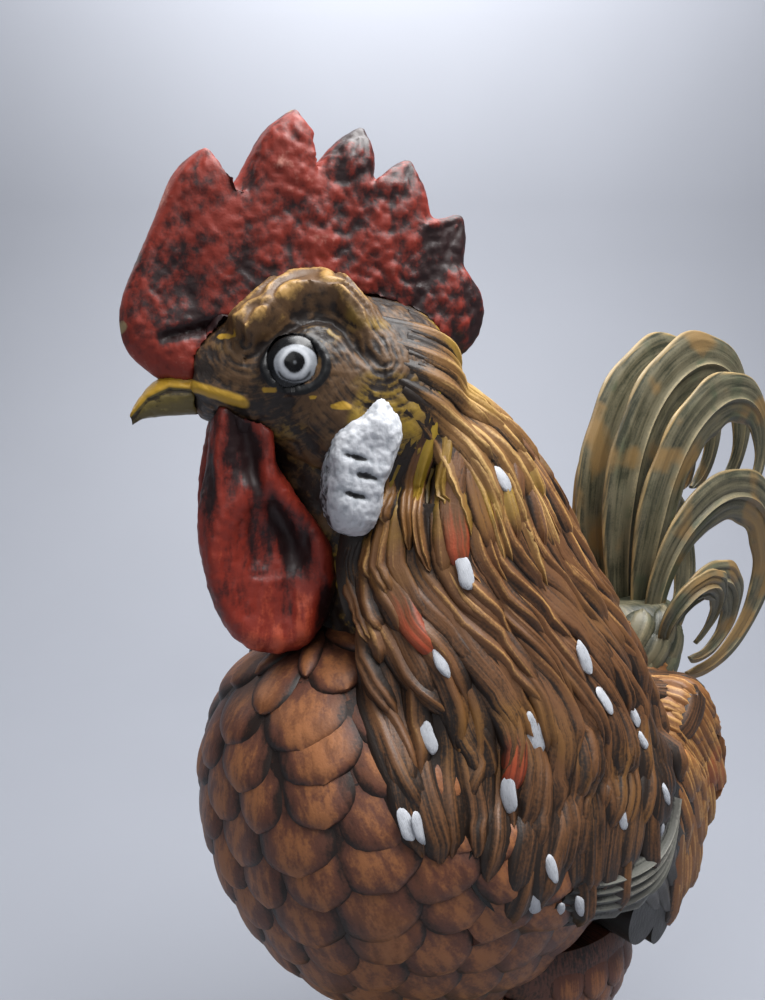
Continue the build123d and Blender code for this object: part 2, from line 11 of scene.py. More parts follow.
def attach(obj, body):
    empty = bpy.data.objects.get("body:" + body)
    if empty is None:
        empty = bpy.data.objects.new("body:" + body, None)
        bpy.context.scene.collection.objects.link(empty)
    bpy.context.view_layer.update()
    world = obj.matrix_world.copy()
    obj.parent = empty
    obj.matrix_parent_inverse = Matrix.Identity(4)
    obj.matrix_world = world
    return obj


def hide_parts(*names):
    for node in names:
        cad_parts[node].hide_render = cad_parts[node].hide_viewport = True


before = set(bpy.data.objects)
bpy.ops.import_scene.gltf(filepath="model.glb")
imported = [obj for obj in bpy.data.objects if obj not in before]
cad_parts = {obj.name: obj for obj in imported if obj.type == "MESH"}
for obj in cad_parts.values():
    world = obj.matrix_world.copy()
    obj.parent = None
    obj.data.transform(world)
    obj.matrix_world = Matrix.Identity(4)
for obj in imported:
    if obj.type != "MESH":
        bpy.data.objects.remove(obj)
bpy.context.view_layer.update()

bl_info = {
    "name": "Painted rooster figure",
    "version": (1, 0, 0),
    "blender": (4, 5, 0),
    "location": "3D View > Sidebar > Rooster",
    "description": "Feathers, face, comb, tail and base of a painted cast rooster, over its solids",
    "category": "Object",
}

MM = 0.001

# Head frame: pivot on the eye line, forward -Y, left +X. The head looks to the bird's right.
HEAD_PIVOT = np.array([0.0, -50.0, 381.0])
HEAD_TURN = math.radians(-25)

# Axis that the neck feathers hang round: height, place across and along, in mm
NECK_AXIS = ((188, 0, 8), (261, 0, 8), (289, 0, 3), (316, 0, -2), (343, 3, -8), (360, 6, -15), (374, 8, -22))

# Where the cloak begins and ends round that axis: height in mm, left edge and right edge in degrees
CLOAK_EDGES = ((200, -45, 214), (235, -50, 219), (316, -71, 236), (343, -66, 232), (372, -48, 222))

# Hem of the cloak: place from one front edge to the middle of the back, and height in mm
CLOAK_HEM = (
    (0, 231), (0.04, 230), (0.065, 224), (0.09, 216), (0.12, 208), (0.15, 204), (0.18, 204), (0.23, 203),
    (0.26, 208), (0.3, 222), (0.34, 230), (0.4, 238), (0.5, 248),
)

# Locks wave together as they hang: pitch of a tress in degrees, share of it they swing, and wave length in mm
TRESS_PITCH = 15.0
TRESS_SWING = 0.5
TRESS_WAVE = 120.0

# Rows of neck feathers, lowest first: tip above the hem, length, width share, lift, all lengths in mm
HACKLE_ROWS = (
    (0, 58, 1.15, -0.6), (8, 60, 1.15, -0.55), (17, 64, 1.12, -0.5), (27, 68, 1.1, -0.45),
    (38, 72, 1.08, -0.4), (51, 78, 1.05, -0.3), (66, 82, 1.02, -0.25), (83, 80, 1.0, -0.2),
    (101, 72, 0.95, -0.1), (119, 60, 0.9, 0.0),
)

# Roots of the foremost feathers behind the face, in the head's frame: along and height in mm
NAPE_ROOTS = ((17, 21), (14, 15), (15, 9), (17, 3), (19, -3), (20.5, -9), (22, -15))

# Height of the nape's top, from where its feathers fall, in mm, and rows of them on the left and the right
NAPE_TOP = 385
NAPE_ROWS = ((1, 4), (-1, 6))

# Solids that the neck feathers lie on, locks in a row and rings in a lock
NECK_GUIDE = (
    "hackle_cape", "body_casting", "head_casting", "left_wing", "right_wing", "left_saddle", "right_saddle")
ROW_LOCKS = 36
LOCK_RINGS = 24

# Highest roots of the locks at the cloak's front edges and behind them, in mm, and the shape all locks share
ROOT_FRONT = 322
ROOT_BACK = 378
NECK_LOCK = {"count": 17, "blunt": 2.1, "sink": 2.5}

# Picture places of the orange-red locks, each at its tip, and their length in mm
BLUSH_PIXELS = ((465, 573), (441, 661), (509, 795))
BLUSH_LENGTH = 64

# Middle of the eyes along the head's frame, in mm
EYE_ALONG = -12.0

# Brow ridge in the head's frame: along and height in mm, and the steps it is measured in
BROW_LINE = (
    (-26.5, 6), (-24.5, 8.8), (-19.9, 12.6), (-12.3, 18.6), (-4.8, 20.6), (2.8, 19.2), (8.2, 14.2), (12, 8),
    (16, 1))
BROW_STEPS = 90

# Yellow touches on the face, in the head's frame: along, height, half length and half height in mm
FACE_TOUCHES = ((-33, 9, 3.6, 1.1), (-20, -8.2, 2.8, 1.5), (-6.7, -10.4, 1.2, 0.7), (1.2, -13.2, 4.0, 1.5))

# Points of the comb and slits of an ear lobe, in the head's frame: along and height in mm
COMB_TIPS = ((-40, 66), (-11, 80), (12, 76), (28, 66.5), (47, 49), (-66, 12))
LOBE_SLITS = ((5.5, -29), (8.5, -35), (5.0, -41))

# Throat in the head's frame: height, middle along, half depth and half width in mm, and rings it is made with
THROAT_RINGS = ((-12, -3, 20, 17), (-32, 0, 17, 18), (-52, 4, 15, 19), (-72, 9, 14, 19), (-92, 14, 14, 20))
THROAT_STEPS = 60

# Breast feathers lie in rings round the throat: throat point, middle of the trunk, its radii and the highest
# feather in mm, the first and last ring in radians from the throat, and what hides the feathers under it
THROAT = np.array([-4.0, -52.0, 292.0])
TRUNK_MIDDLE = np.array([0.0, 0.0, 222.0])
TRUNK_RADIUS = 82
TRUNK_ARC = 84
BREAST_TOP = 322
BREAST_TILTS = (0.10, 2.75)
BREAST_COVER = ("hackle_cape", "left_saddle", "right_saddle", "left_thigh", "right_thigh", "tail_root")

# Where the wings begin along the body, how far their softened surface may stand off it, and how deep under
# the cover a feather is left out, in mm
WING_FRONT = -12
STAND_OFF = 4
COVER_DEPTH = 7

# Starts of rays from outside the trunk, the neck and the side, in mm, and where one that meets nothing ends
OUTSIDE = 260
NECK_OUTSIDE = 170
NECK_INSIDE = 40
SIDE_OUTSIDE = 200
SIDE_INSIDE = 70.0

SIDES = (("left", 1), ("right", -1))

# Wing from the side, in mm: tips of the flight feathers, then the lower edge with its rise per feather
FLIGHT_TIPS = ((46, 181), (57, 174), (67, 173), (76, 181))
WING_EDGE = ((-20, 207, 2), (-4, 200, 3), (16, 194.5, 3.6), (32, 193, 3.8), (43, 199, 4), (48, 212, 4))

# Feathers along that edge, points that one is measured in, and rounds that smooth it
EDGE_FEATHERS = 5
EDGE_STEPS = 60
EDGE_ROUNDS = 30

# Saddle feathers seen from the side: root, tip, count and spacing. From behind: root and tip heights.
# On the back: place along, length, leans and fall in degrees. All lengths in mm.
SADDLE_GUIDE = ("body_casting", "left_saddle", "right_saddle", "left_wing", "right_wing", "tail_root")
SADDLE_LOCK_WIDTH = 11.5
SADDLE_SIDE_ROWS = (
    ((58, 212), (60, 171), 5, 7), ((56, 224), (64, 184), 6, 10), ((52, 236), (66, 200), 6, 11),
    ((50, 246), (68, 216), 6, 11), ((50, 256), (66, 232), 6, 11),
)
SADDLE_REAR_ROWS = ((208, 172), (224, 186), (240, 204))
SADDLE_BACK_ROWS = (
    (84, 22, (34, 42, 50), 34), (72, 24, (30, 38, 46, 54), 34), (60, 26, (28, 36, 44, 52), 36),
    (48, 28, (26, 34, 42, 50), 38), (70, 26, (4, 11, 18, 25), 4), (60, 32, (2, 9, 16, 23), 5),
    (50, 36, (4, 11, 18, 25), 6),
)

# Plumes of a side: base across and along, length, lean, turn, how late it comes, width, thickness, splay
PLUMES = {
    "main_sickle": (6, 7, 245, -10, 262, 1.95, 34, 6.5, 1.5),
    "inner_plume": (13.5, 9, 205, -2, 235, 2.1, 30, 6.0, 5),
    "covert_sickle": (21, 8, 240, -14, 298, 1.02, 26, 6.0, 8),
    "small_curl": (28, 8, 112, 24, 270, 1.3, 19, 5.0, 12),
    "root_curl": (34, -2, 84, -34, 262, 0.9, 15, 4.5, 20),
}
TAIL_PLACE = 110.0
PLUME_BASE = 262.0

# Leaves round the tail root: share of its height at foot and top, and count
TAIL_ROOT_ROWS = ((0.52, 0.97, 14), (0.3, 0.8, 14), (0.08, 0.6, 14))

# Middle of the left ankle across and along, and of the foot along, in mm
ANKLE = (37, 30)
FOOT_MIDDLE = 20

# Photograph's camera: place in mm, turn and tilt in degrees, focal length and picture size in pixels
CAMERA_PLACE = np.array([253.6, -221.6, 377.1])
CAMERA_TURN = 52.0
CAMERA_TILT = 8.0
FOCAL_PIXELS = 880.0
PICTURE = (765, 1000)

# Picture places of the white paint dabs on the near side, and the size share of each
DAB_PIXELS = (
    (502, 479, 0.8), (465, 573, 1.0), (441, 661, 1.0), (429, 738, 0.95), (407, 825, 0.9), (420, 829, 0.95),
    (509, 795, 1.0), (534, 733, 1.1), (584, 658, 1.0), (605, 701, 0.85), (635, 717, 0.6), (643, 741, 0.6),
    (623, 818, 0.8), (666, 794, 0.7), (661, 830, 0.5), (552, 869, 0.7), (535, 904, 0.7), (561, 909, 0.6),
    (580, 906, 0.65),
)

# Hidden steel, kept as packed
STEEL_NODES = ("left_leg_rod", "right_leg_rod", "leg_rod_nuts", "leg_rod_washers", "wing_pins", "tail_pin")

# Pieces that white paint lies on
DAB_GROUND = (
    "neck_feathers", "left_wing_feathers", "right_wing_feathers", "left_saddle_feathers",
    "right_saddle_feathers", "breast_feathers",
)

# Backdrop in m: its front edge, the radius of its bend, its top and half width, and the steps of the bend
SWEEP_FRONT = -2.5
SWEEP_BEND = 0.7
SWEEP_TOP = 3.0
SWEEP_HALF_WIDTH = 3.5
BEND_STEPS = 12

# Light from all round, and soft lamps: name, place, aim, breadth in m, and watts
AIR_COLOUR = "#C4C8D2"
AIR_STRENGTH = 0.24
LAMPS = (
    ("overhead_softbox", (0.28, 0.10, 1.15), (0, 0, 0.28), 0.7, 19.0),
    ("front_softbox", (0.75, -1.05, 0.9), (0, 0, 0.3), 0.8, 2.2),
    ("far_side_softbox", (-1.0, -0.4, 1.0), (0, 0, 0.3), 0.8, 2.2),
)


def linear(code):
    """Linear colour of an sRGB hex code."""
    parts = [int(code[i:i + 2], 16) / 255 for i in (1, 3, 5)]
    return tuple(c / 12.92 if c <= 0.04045 else ((c + 0.055) / 1.055) ** 2.4 for c in parts)


def length(label, default, about):
    """Size setting in metres."""
    return bpy.props.FloatProperty(
        name=label, description=about, default=default, min=0.0, unit="LENGTH", precision=4)


def colour(label, code, about):
    """Paint colour setting."""
    return bpy.props.FloatVectorProperty(
        name=label, description=about, default=linear(code), subtype="COLOR", min=0, max=1)


class RoosterSizes(bpy.types.PropertyGroup):
    """Sizes of the modelled relief."""
    lock_width: length("Hackle lock width", 0.0112, "Widest place of one neck feather")
    lock_rise: length("Hackle lock rise", 0.0052, "Height of one neck feather over the cloak")
    scale_width: length("Breast feather width", 0.0275, "Width of one breast feather")
    scale_pitch: length("Breast row pitch", 0.0122, "Distance between rows of breast feathers")
    scale_rise: length("Breast feather rise", 0.0026, "Height of a breast feather at its tip")
    brow_rise: length("Brow rise", 0.0074, "Height of the brow over the skull")
    comb_lumps: length("Comb lumps", 0.0016, "Depth of the knobbly surface of the comb")
    plume_groove: length("Plume groove", 0.0011, "Depth of the grooves along the tail plumes")
    dab_length: length("White dab length", 0.0120, "Length of one dab of white paint")
    camera_lens: bpy.props.FloatProperty(
        name="Lens", description="Focal length on a 36 mm long side", default=31.68)


class RoosterPaints(bpy.types.PropertyGroup):
    """Paint colours."""
    hackle_wash: colour("Hackle wash", "#21160E", "Dark wash in the grooves of the neck feathers")
    hackle_ground: colour("Hackle ground", "#694528", "Ground colour of the neck feathers")
    hackle_brush: colour("Hackle brush", "#B78A50", "Dry-brushed ochre on the neck feathers")
    hackle_blush: colour("Hackle blush", "#AE4A2C", "Orange-red feathers among the brown ones")
    hackle_gilt: colour("Hackle gilt", "#A58728", "Yellow touches near the ear lobes")
    breast_wash: colour("Breast wash", "#21140E", "Dark wash between the breast feathers")
    breast_ground: colour("Breast ground", "#60392A", "Ground colour of the breast")
    breast_brush: colour("Breast brush", "#96603A", "Dry-brushed light brown on the breast")
    tail_wash: colour("Tail wash", "#343629", "Dark green wash in the tail's grooves")
    tail_ground: colour("Tail ground", "#6C6650", "Grey-green ground of the tail")
    tail_brush: colour("Tail brush", "#948869", "Sage dry-brush on the tail")
    tail_rim: colour("Tail rim", "#A98D5C", "Ochre on the edges of the plumes")
    comb_wash: colour("Comb wash", "#260F0F", "Dark wash in the comb's hollows")
    comb_ground: colour("Comb ground", "#8A2C1D", "Red of the comb and wattles")
    # Comb brush: dry-brush on the comb's ridges, greyish-pink with a painted sheen of the overhead light in
    # it.
    comb_brush_and_sheen: colour("Comb brush", "#B97768", "Lighter red on the comb's ridges")
    face_wash: colour("Face wash", "#241A14", "Dark wash of the face")
    face_ground: colour("Face ground", "#62472C", "Brown ground of the face")
    face_brush: colour("Face brush", "#B0894E", "Ochre touches on the brow and cheek")
    beak_ground: colour("Beak", "#C0962F", "Ochre of the beak")
    # Beak olive: the olive of the beak below its yellow band, which also stands in for the shade on the lower
    # beak.
    beak_olive_and_shade: colour("Beak wash", "#6E6033", "Olive shade on the beak")
    white: colour("White", "#CFD1D6", "White of the ear lobes, eyes and dabs")
    wing_ground: colour("Wing grey", "#66665F", "Grey of the wing's edge")
    leg_ground: colour("Leg", "#A98A45", "Ochre of the legs")
    base_ground: colour("Base", "#5A5A40", "Green-brown of the base")
    floor: colour("Floor", "#868991", "Pale grey of the floor and backdrop")


def sizes():
    """Size settings of the scene."""
    return bpy.context.scene.rooster_sizes


def paints():
    """Paint settings of the scene."""
    return bpy.context.scene.rooster_paints


def unit(vectors):
    """Vectors at length one."""
    return vectors / np.maximum(np.linalg.norm(vectors, axis=-1, keepdims=True), 1e-9)


def ease(values, low, high):
    """Smooth step from 0 at low to 1 at high."""
    share = np.clip((np.asarray(values, dtype=float) - low) / (high - low), 0, 1)
    return share * share * (3 - 2 * share)


def bell(values, middle, spread):
    """Bell curve, 1 at its middle."""
    return np.exp(-((values - middle) / spread) ** 2)


def hashed(cells, seed):
    """Repeatable numbers from -1 to 1 for whole-number cells."""
    mixed = (cells * np.array([374761393, 668265263, 1274126177])).sum(axis=-1) + seed * 97531
    mixed = (mixed ^ (mixed >> 13)) * 1274126177 & 0xFFFFFFFF
    return ((mixed ^ (mixed >> 16)) & 0xFFFF) / 32767.5 - 1


def grain(points, size, seed=0):
    """Smooth random field from -1 to 1 over points in mm, with lumps of the given size."""
    scaled = points / size
    cells = np.floor(scaled).astype(np.int64)
    part = scaled - cells
    part = part * part * (3 - 2 * part)
    total = np.zeros(len(points))
    for corner in np.ndindex(2, 2, 2):
        step = np.array(corner)
        weight = np.where(step == 1, part, 1 - part).prod(axis=1)
        total += weight * hashed(cells + step, seed)
    return total


def knobs(points, size, seed=0):
    """Distance to the nearest of scattered knobs, 0 on a knob and about 1 between them."""
    scaled = points / size
    cells = np.floor(scaled).astype(np.int64)
    nearest = np.full(len(points), 9.0)
    for corner in np.ndindex(3, 3, 3):
        near = cells + np.array(corner) - 1
        middle = near + 0.5 + 0.45 * np.stack([hashed(near, seed + k) for k in range(3)], axis=1)
        nearest = np.minimum(nearest, np.linalg.norm(scaled - middle, axis=1))
    return np.clip(nearest, 0, 1)


def triangles_of(meshes):
    """Points in mm and triangles of meshes, joined."""
    points = []
    faces = []
    count = 0
    for mesh in meshes:
        mesh.calc_loop_triangles()
        co = np.empty(len(mesh.vertices) * 3)
        mesh.vertices.foreach_get("co", co)
        triangles = np.empty(len(mesh.loop_triangles) * 3, dtype=np.int32)
        mesh.loop_triangles.foreach_get("vertices", triangles)
        points.append(co.reshape(-1, 3) / MM)
        faces.append(triangles.reshape(-1, 3) + count)
        count += len(points[-1])
    return np.vstack(points), np.vstack(faces)


def solid(*names):
    """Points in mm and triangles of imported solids, joined."""
    return triangles_of(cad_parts[name].data for name in names)


def skin(points, faces):
    """Search tree of a surface in mm."""
    return BVHTree.FromPolygons(points.tolist(), faces.tolist())


def even_copy(names, voxel, rounds=0):
    """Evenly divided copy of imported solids: points in mm, quads and point normals."""
    points, faces = solid(*names)
    mesh = bpy.data.meshes.new("even_copy")
    mesh.from_pydata((points * MM).tolist(), [], faces.tolist())
    holder = bpy.data.objects.new("even_copy", mesh)
    bpy.context.scene.collection.objects.link(holder)
    remesh = holder.modifiers.new("even", "REMESH")
    remesh.mode = "VOXEL"
    remesh.voxel_size = voxel * MM
    soften = holder.modifiers.new("soften", "SMOOTH")
    soften.iterations = rounds
    result = bpy.data.meshes.new_from_object(holder.evaluated_get(bpy.context.evaluated_depsgraph_get()))
    co = np.empty(len(result.vertices) * 3)
    result.vertices.foreach_get("co", co)
    normals = np.empty(len(result.vertices) * 3)
    result.vertex_normals.foreach_get("vector", normals)
    quads = np.empty(len(result.loops), dtype=np.int32)
    result.loops.foreach_get("vertex_index", quads)
    bpy.data.objects.remove(holder)
    bpy.data.meshes.remove(mesh)
    bpy.data.meshes.remove(result)
    return co.reshape(-1, 3) / MM, quads.reshape(-1, 4), normals.reshape(-1, 3)


def guide(names, voxel, rounds):
    """Search tree of an evenly divided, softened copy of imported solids."""
    return skin(*even_copy(names, voxel, rounds)[:2])


def cast(tree, start, direction):
    """First point in mm and normal that a ray meets, or None."""
    place, normal, _, _ = tree.ray_cast(Vector(start), Vector(direction))
    return None if place is None else (np.array(place), np.array(normal))


def snap(tree, point):
    """Nearest point and normal of a surface."""
    place, normal, _, _ = tree.find_nearest(Vector(point))
    return np.array(place), np.array(normal)


HEAD_AXES = np.array([
    [math.cos(HEAD_TURN), math.sin(HEAD_TURN), 0], [-math.sin(HEAD_TURN), math.cos(HEAD_TURN), 0], [0, 0, 1]])


def to_head(points):
    """Points of the figure in the head's frame."""
    return (points - HEAD_PIVOT) @ HEAD_AXES.T


def from_head(local):
    """Points of the head's frame in the figure."""
    return HEAD_PIVOT + local @ HEAD_AXES


class Heap:
    """Points, faces and paint values of one piece while it is put together."""

    def __init__(self):
        self.points = []
        self.faces = []
        self.count = 0
        self.values = {"relief": [], "tint": [], "mark": []}
        self.strand = []

    def add(self, points, faces, relief=0.0, tint=0.0, mark=0.0, strand=None):
        size = len(points)
        self.points.append(points)
        for part in faces:
            self.faces.extend((part + self.count).tolist())
        for key, value in (("relief", relief), ("tint", tint), ("mark", mark)):
            self.values[key].append(np.broadcast_to(value, size).astype(np.float32))
        self.strand.append(points if strand is None else strand)
        self.count += size

    def piece(self, name, material, slot, *nodes, sharp=55):
        """Make the finished object, which rides on the figure and stands for its nodes."""
        mesh = bpy.data.meshes.new(name)
        mesh.from_pydata((np.vstack(self.points) * MM).tolist(), [], self.faces)
        for key, parts in self.values.items():
            mesh.attributes.new(key, "FLOAT", "POINT").data.foreach_set("value", np.concatenate(parts))
        flow = mesh.attributes.new("strand", "FLOAT_VECTOR", "POINT")
        flow.data.foreach_set("vector", np.vstack(self.strand).astype(np.float32).ravel())
        mesh.polygons.foreach_set("use_smooth", np.ones(len(mesh.polygons), dtype=bool))
        mesh.set_sharp_from_angle(angle=math.radians(sharp))
        mesh.materials.append(material)
        made = bpy.data.objects.new(name, mesh)
        bpy.context.scene.collection.objects.link(made)
        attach(made, "root")
        if nodes:
            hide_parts(*nodes)


def core(name, relief=0.0):
    """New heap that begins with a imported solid."""
    heap = Heap()
    points, faces = solid(name)
    heap.add(points, [faces], relief)
    return heap


def pushed(points, quads, normals, push, *values, **more):
    """New heap with one surface pushed out along its normals, in mm."""
    heap = Heap()
    heap.add(points + normals * push[:, None], [quads], *values, **more)
    return heap


def picture_axes():
    """Camera's forward, right and up directions."""
    turn = math.radians(CAMERA_TURN)
    tilt = math.radians(CAMERA_TILT)
    ahead = np.array([-math.sin(turn) * math.cos(tilt), math.cos(turn) * math.cos(tilt), -math.sin(tilt)])
    right = np.array([math.cos(turn), math.sin(turn), 0])
    return ahead, right, np.cross(right, ahead)


def picture_ray(x, y):
    """Direction from the camera through a picture place."""
    ahead, right, up = picture_axes()
    return unit(
        ahead + right * (x - PICTURE[0] / 2) / FOCAL_PIXELS - up * (y - PICTURE[1] / 2) / FOCAL_PIXELS)


def sheet_faces(rings, columns):
    """Quads of a closed flat body: an upper sheet, a lower sheet and the walls between them."""
    index = np.arange(rings * columns).reshape(rings, columns)
    low = index + rings * columns
    upper = np.stack([index[:-1, :-1], index[:-1, 1:], index[1:, 1:], index[1:, :-1]], axis=-1).reshape(-1, 4)
    lower = np.stack([low[:-1, :-1], low[1:, :-1], low[1:, 1:], low[:-1, 1:]], axis=-1).reshape(-1, 4)
    rim = np.concatenate([index[0, :-1], index[:-1, -1], index[-1, :0:-1], index[:0:-1, 0]])
    turned = np.roll(rim, -1)
    walls = np.stack([rim, rim + rings * columns, turned + rings * columns, turned], axis=-1)
    return [upper, lower, walls]


def ring_faces(rings, columns):
    """Quads between the rings of a tube."""
    index = np.arange(rings * columns).reshape(rings, columns)
    after = np.roll(index, -1, axis=1)
    return np.stack([index[:-1], after[:-1], after[1:], index[1:]], axis=-1).reshape(-1, 4)


def columns_of(count):
    """Places across a feather from -1 to 1, closer together at the edges."""
    return np.sin(np.linspace(-1, 1, count) * math.pi / 2 * 0.96) / math.sin(math.pi / 2 * 0.96)


# Drop of a feather's edges in mm, and how far apart two feathers' brush streaks are taken
EDGE_DROP = 0.8
STREAK_STEP = 997.0


def feather(heap, tree, line, half_width, height, tint, mark=0.0, count=9, blunt=2.4, ridges=0, groove=0.0,
            sink=1.6):
    """One feather laid along a line of points on a surface, domed across and closed underneath.
    count is its points across, blunt how square its dome is, and sink how deep it goes in, in mm."""
    rings = len(line)
    across = columns_of(count)
    heading = unit(np.gradient(line, axis=0))
    dome = np.sqrt(np.clip(1 - np.abs(across) ** blunt, 0, 1))
    if ridges:
        dome = dome * (1 - groove * (0.5 - 0.5 * np.cos(math.pi * ridges * (across + 1))))
    upper = np.empty((rings, count, 3))
    lower = np.empty((rings, count, 3))
    for i in range(rings):
        _, normal = snap(tree, line[i])
        side = unit(np.cross(heading[i], normal))
        for j in range(count):
            base, _ = snap(tree, line[i] + side * half_width[i] * across[j])
            upper[i, j] = base + normal * (height[i] * dome[j] + (dome[j] - 1) * EDGE_DROP)
            lower[i, j] = base - normal * sink
    travel = np.concatenate([[0], np.cumsum(np.linalg.norm(np.diff(line, axis=0), axis=1))])
    share = np.linspace(0, 1, rings)
    relief = np.outer(0.25 + 0.75 * ease(share, 0.1, 0.5), dome ** 1.7).ravel()
    own = np.full(rings * count, tint * STREAK_STEP)
    strand = np.stack([np.repeat(travel, count), np.outer(half_width, across).ravel(), own], axis=1)
    heap.add(
        np.vstack([upper.reshape(-1, 3), lower.reshape(-1, 3)]), sheet_faces(rings, count),
        np.concatenate([relief, np.zeros(rings * count)]), tint,
        np.tile(np.repeat(np.broadcast_to(mark, rings), count), 2),
        np.vstack([strand, strand]))


def arch(share, foot, start, full, droop=0.5, late=0.9):
    """Height share along a feather: a low root, a full middle and a drooping tip."""
    return (foot + (1 - foot) * ease(share, start, full)) * (1 - droop * ease(share, late, 1))


def tongue(share, width):
    """Half widths of a long lock with a rounded end."""
    end = np.sqrt(np.clip(1.03 - np.clip((share - 0.76) / 0.24, 0, 1) ** 2, 0, 1))
    return width / 2 * (0.7 + 0.3 * ease(share, 0, 0.4)) * end


def rounded(share, width):
    """Half widths of a broad feather with a round tip."""
    return width / 2 * np.sqrt(np.clip(1.02 - np.clip((share - 0.45) / 0.55, 0, 1) ** 2, 0, 1))


def shingle(share, width):
    """Half widths of a broad feather with a flat round end."""
    return width / 2 * np.clip(1.02 - np.clip((share - 0.66) / 0.34, 0, 1) ** 2.8, 0, 1) ** 0.5


def walk(tree, start, side, distance, rings):
    """Line of points on a surface from a start behind the face, back and then down the neck."""
    point, normal = snap(tree, start)
    points = [point]
    for _ in range(rings - 1):
        fall = 0.6 * ease(NAPE_TOP - point[2], 0, 55)
        ahead = np.array([side * 0.1, 0.85 - fall, -0.4 - fall])
        ahead = unit(ahead - normal * np.dot(ahead, normal))
        point, normal = snap(tree, point + ahead * distance / (rings - 1))
        points.append(point)
    return np.array(points)


def add(tree, kind, inputs=None, **settings):
    """A shader node with its settings, values and links."""
    made = tree.nodes.new(kind)
    for key, value in settings.items():
        setattr(made, key, value)
    for key, value in (inputs or {}).items():
        socket = made.inputs[key]
        if isinstance(value, bpy.types.NodeSocket):
            tree.links.new(value, socket)
        elif socket.type == "RGBA" and len(value) == 3:
            socket.default_value = (*value, 1.0)
        else:
            socket.default_value = value
    return made


def fresh_material(name):
    """New material with its node tree and shader."""
    material = bpy.data.materials.new(name)
    material.use_nodes = True
    return material, material.node_tree, material.node_tree.nodes["Principled BSDF"]


def value_of(tree, name):
    """Paint value stored on the mesh."""
    return add(tree, "ShaderNodeAttribute", attribute_name=name).outputs["Fac"]


def noise(tree, vector, scale, detail, **more):
    """Noise field, with its scale in lumps per unit of the vector."""
    inputs = {"Vector": vector, "Scale": scale, "Detail": detail, **more}
    return add(tree, "ShaderNodeTexNoise", inputs).outputs["Fac"]


def blend(tree, share, under, over):
    """One colour over another by a share."""
    return add(tree, "ShaderNodeMix", {0: share, 6: under, 7: over}, data_type="RGBA").outputs[2]


def ramp(tree, value, low, high, top=1.0):
    """Smooth step from 0 at low to top at high."""
    inputs = {0: value, 1: low, 2: high, 4: top}
    return add(tree, "ShaderNodeMapRange", inputs, interpolation_type="SMOOTHSTEP").outputs[0]


def roughness(tree, field, smooth, dull):
    """Roughness between two values, following a noise field."""
    return add(tree, "ShaderNodeMapRange", {0: field, 1: 0.3, 2: 0.7, 3: smooth, 4: dull}).outputs[0]


def plus(tree, value, factor, base):
    """Base and a share of a value."""
    return add(tree, "ShaderNodeMath", {0: value, 1: factor, 2: base}, operation="MULTIPLY_ADD").outputs[0]


def paint_material(name, wash, ground, brush, spot=None, streak=(18.0, 0.8), patch=26.0, gloss=0.5, grit=0.9,
                   bump=0.35, levels=(0.25, 0.6, 0.8, 1.2), mark=None, mark_from=0.5, band=None):
    """Hand-painted casting: a dark wash in the hollows, a ground colour and a lighter dry-brush on ridges.
    In mm, streak is the length and width of brush streaks, patch the size of tint patches, grit the grain."""
    material, tree, shader = fresh_material(name)
    strand = add(tree, "ShaderNodeAttribute", attribute_name="strand").outputs["Vector"]
    place = add(tree, "ShaderNodeTexCoord").outputs["Object"]
    pull = (1 / streak[0], 1 / streak[1], 0.37)
    stretched = add(tree, "ShaderNodeVectorMath", {0: strand, 1: pull}, operation="MULTIPLY").outputs[0]
    streaks = noise(tree, stretched, 1.0, 3.0)
    mottle = noise(tree, place, 1 / (patch * MM), 4.0, Roughness=0.6)
    grit_field = noise(tree, place, 1 / (grit * MM), 2.0)
    # Relief, streaks, patches and grain together, about 0 in a hollow and 1 on a ridge
    total = plus(tree, streaks, 0.9, value_of(tree, "relief"))
    total = plus(tree, grit_field, 0.35, plus(tree, mottle, 0.7, total))
    level = add(tree, "ShaderNodeMath", {0: total, 1: 0.975}, operation="SUBTRACT").outputs[0]
    low = ramp(tree, level, levels[0], levels[1])
    high = ramp(tree, level, levels[2], levels[3])
    finish = blend(tree, low, wash, ground)
    if spot is not None:
        drift = noise(tree, place, 1 / (patch * 1.7 * MM), 2.0, Distortion=0.6)
        share = ramp(tree, drift, 0.52, 0.68, 0.75)
        held = add(tree, "ShaderNodeMath", {0: share, 1: low}, operation="MULTIPLY").outputs[0]
        finish = blend(tree, held, finish, spot)
    finish = blend(tree, high, finish, brush)
    if mark is not None:
        worn = plus(tree, streaks, 0.5, value_of(tree, "mark"))
        finish = blend(tree, ramp(tree, worn, mark_from, mark_from + 0.35), finish, mark)
    if band is not None:
        worn = plus(tree, mottle, 0.5, value_of(tree, "tint"))
        finish = blend(tree, ramp(tree, worn, 0.55, 0.9), finish, band)
    raised = plus(tree, grit_field, 0.5, streaks)
    inputs = {"Height": raised, "Strength": bump, "Distance": 0.5 * MM}
    relief = add(tree, "ShaderNodeBump", inputs).outputs[0]
    tree.links.new(finish, shader.inputs["Base Color"])
    tree.links.new(roughness(tree, mottle, gloss - 0.09, gloss + 0.12), shader.inputs["Roughness"])
    tree.links.new(relief, shader.inputs["Normal"])
    shader.inputs["IOR"].default_value = 1.5
    return material


def neck_frame(height):
    """Middle of the neck at a height, and the cloak's left and right edges there in degrees."""
    heights = [row[0] for row in NECK_AXIS]
    middle = np.array([np.interp(height, heights, [row[k] for row in NECK_AXIS]) for k in (1, 2)] + [height])
    levels = [row[0] for row in CLOAK_EDGES]
    return middle, *(np.interp(height, levels, [row[k] for row in CLOAK_EDGES]) for k in (1, 2))


def neck_swing(height):
    """Turn of the waving tresses at a height, in degrees."""
    return TRESS_PITCH * TRESS_SWING * math.sin(2 * math.pi * height / TRESS_WAVE)


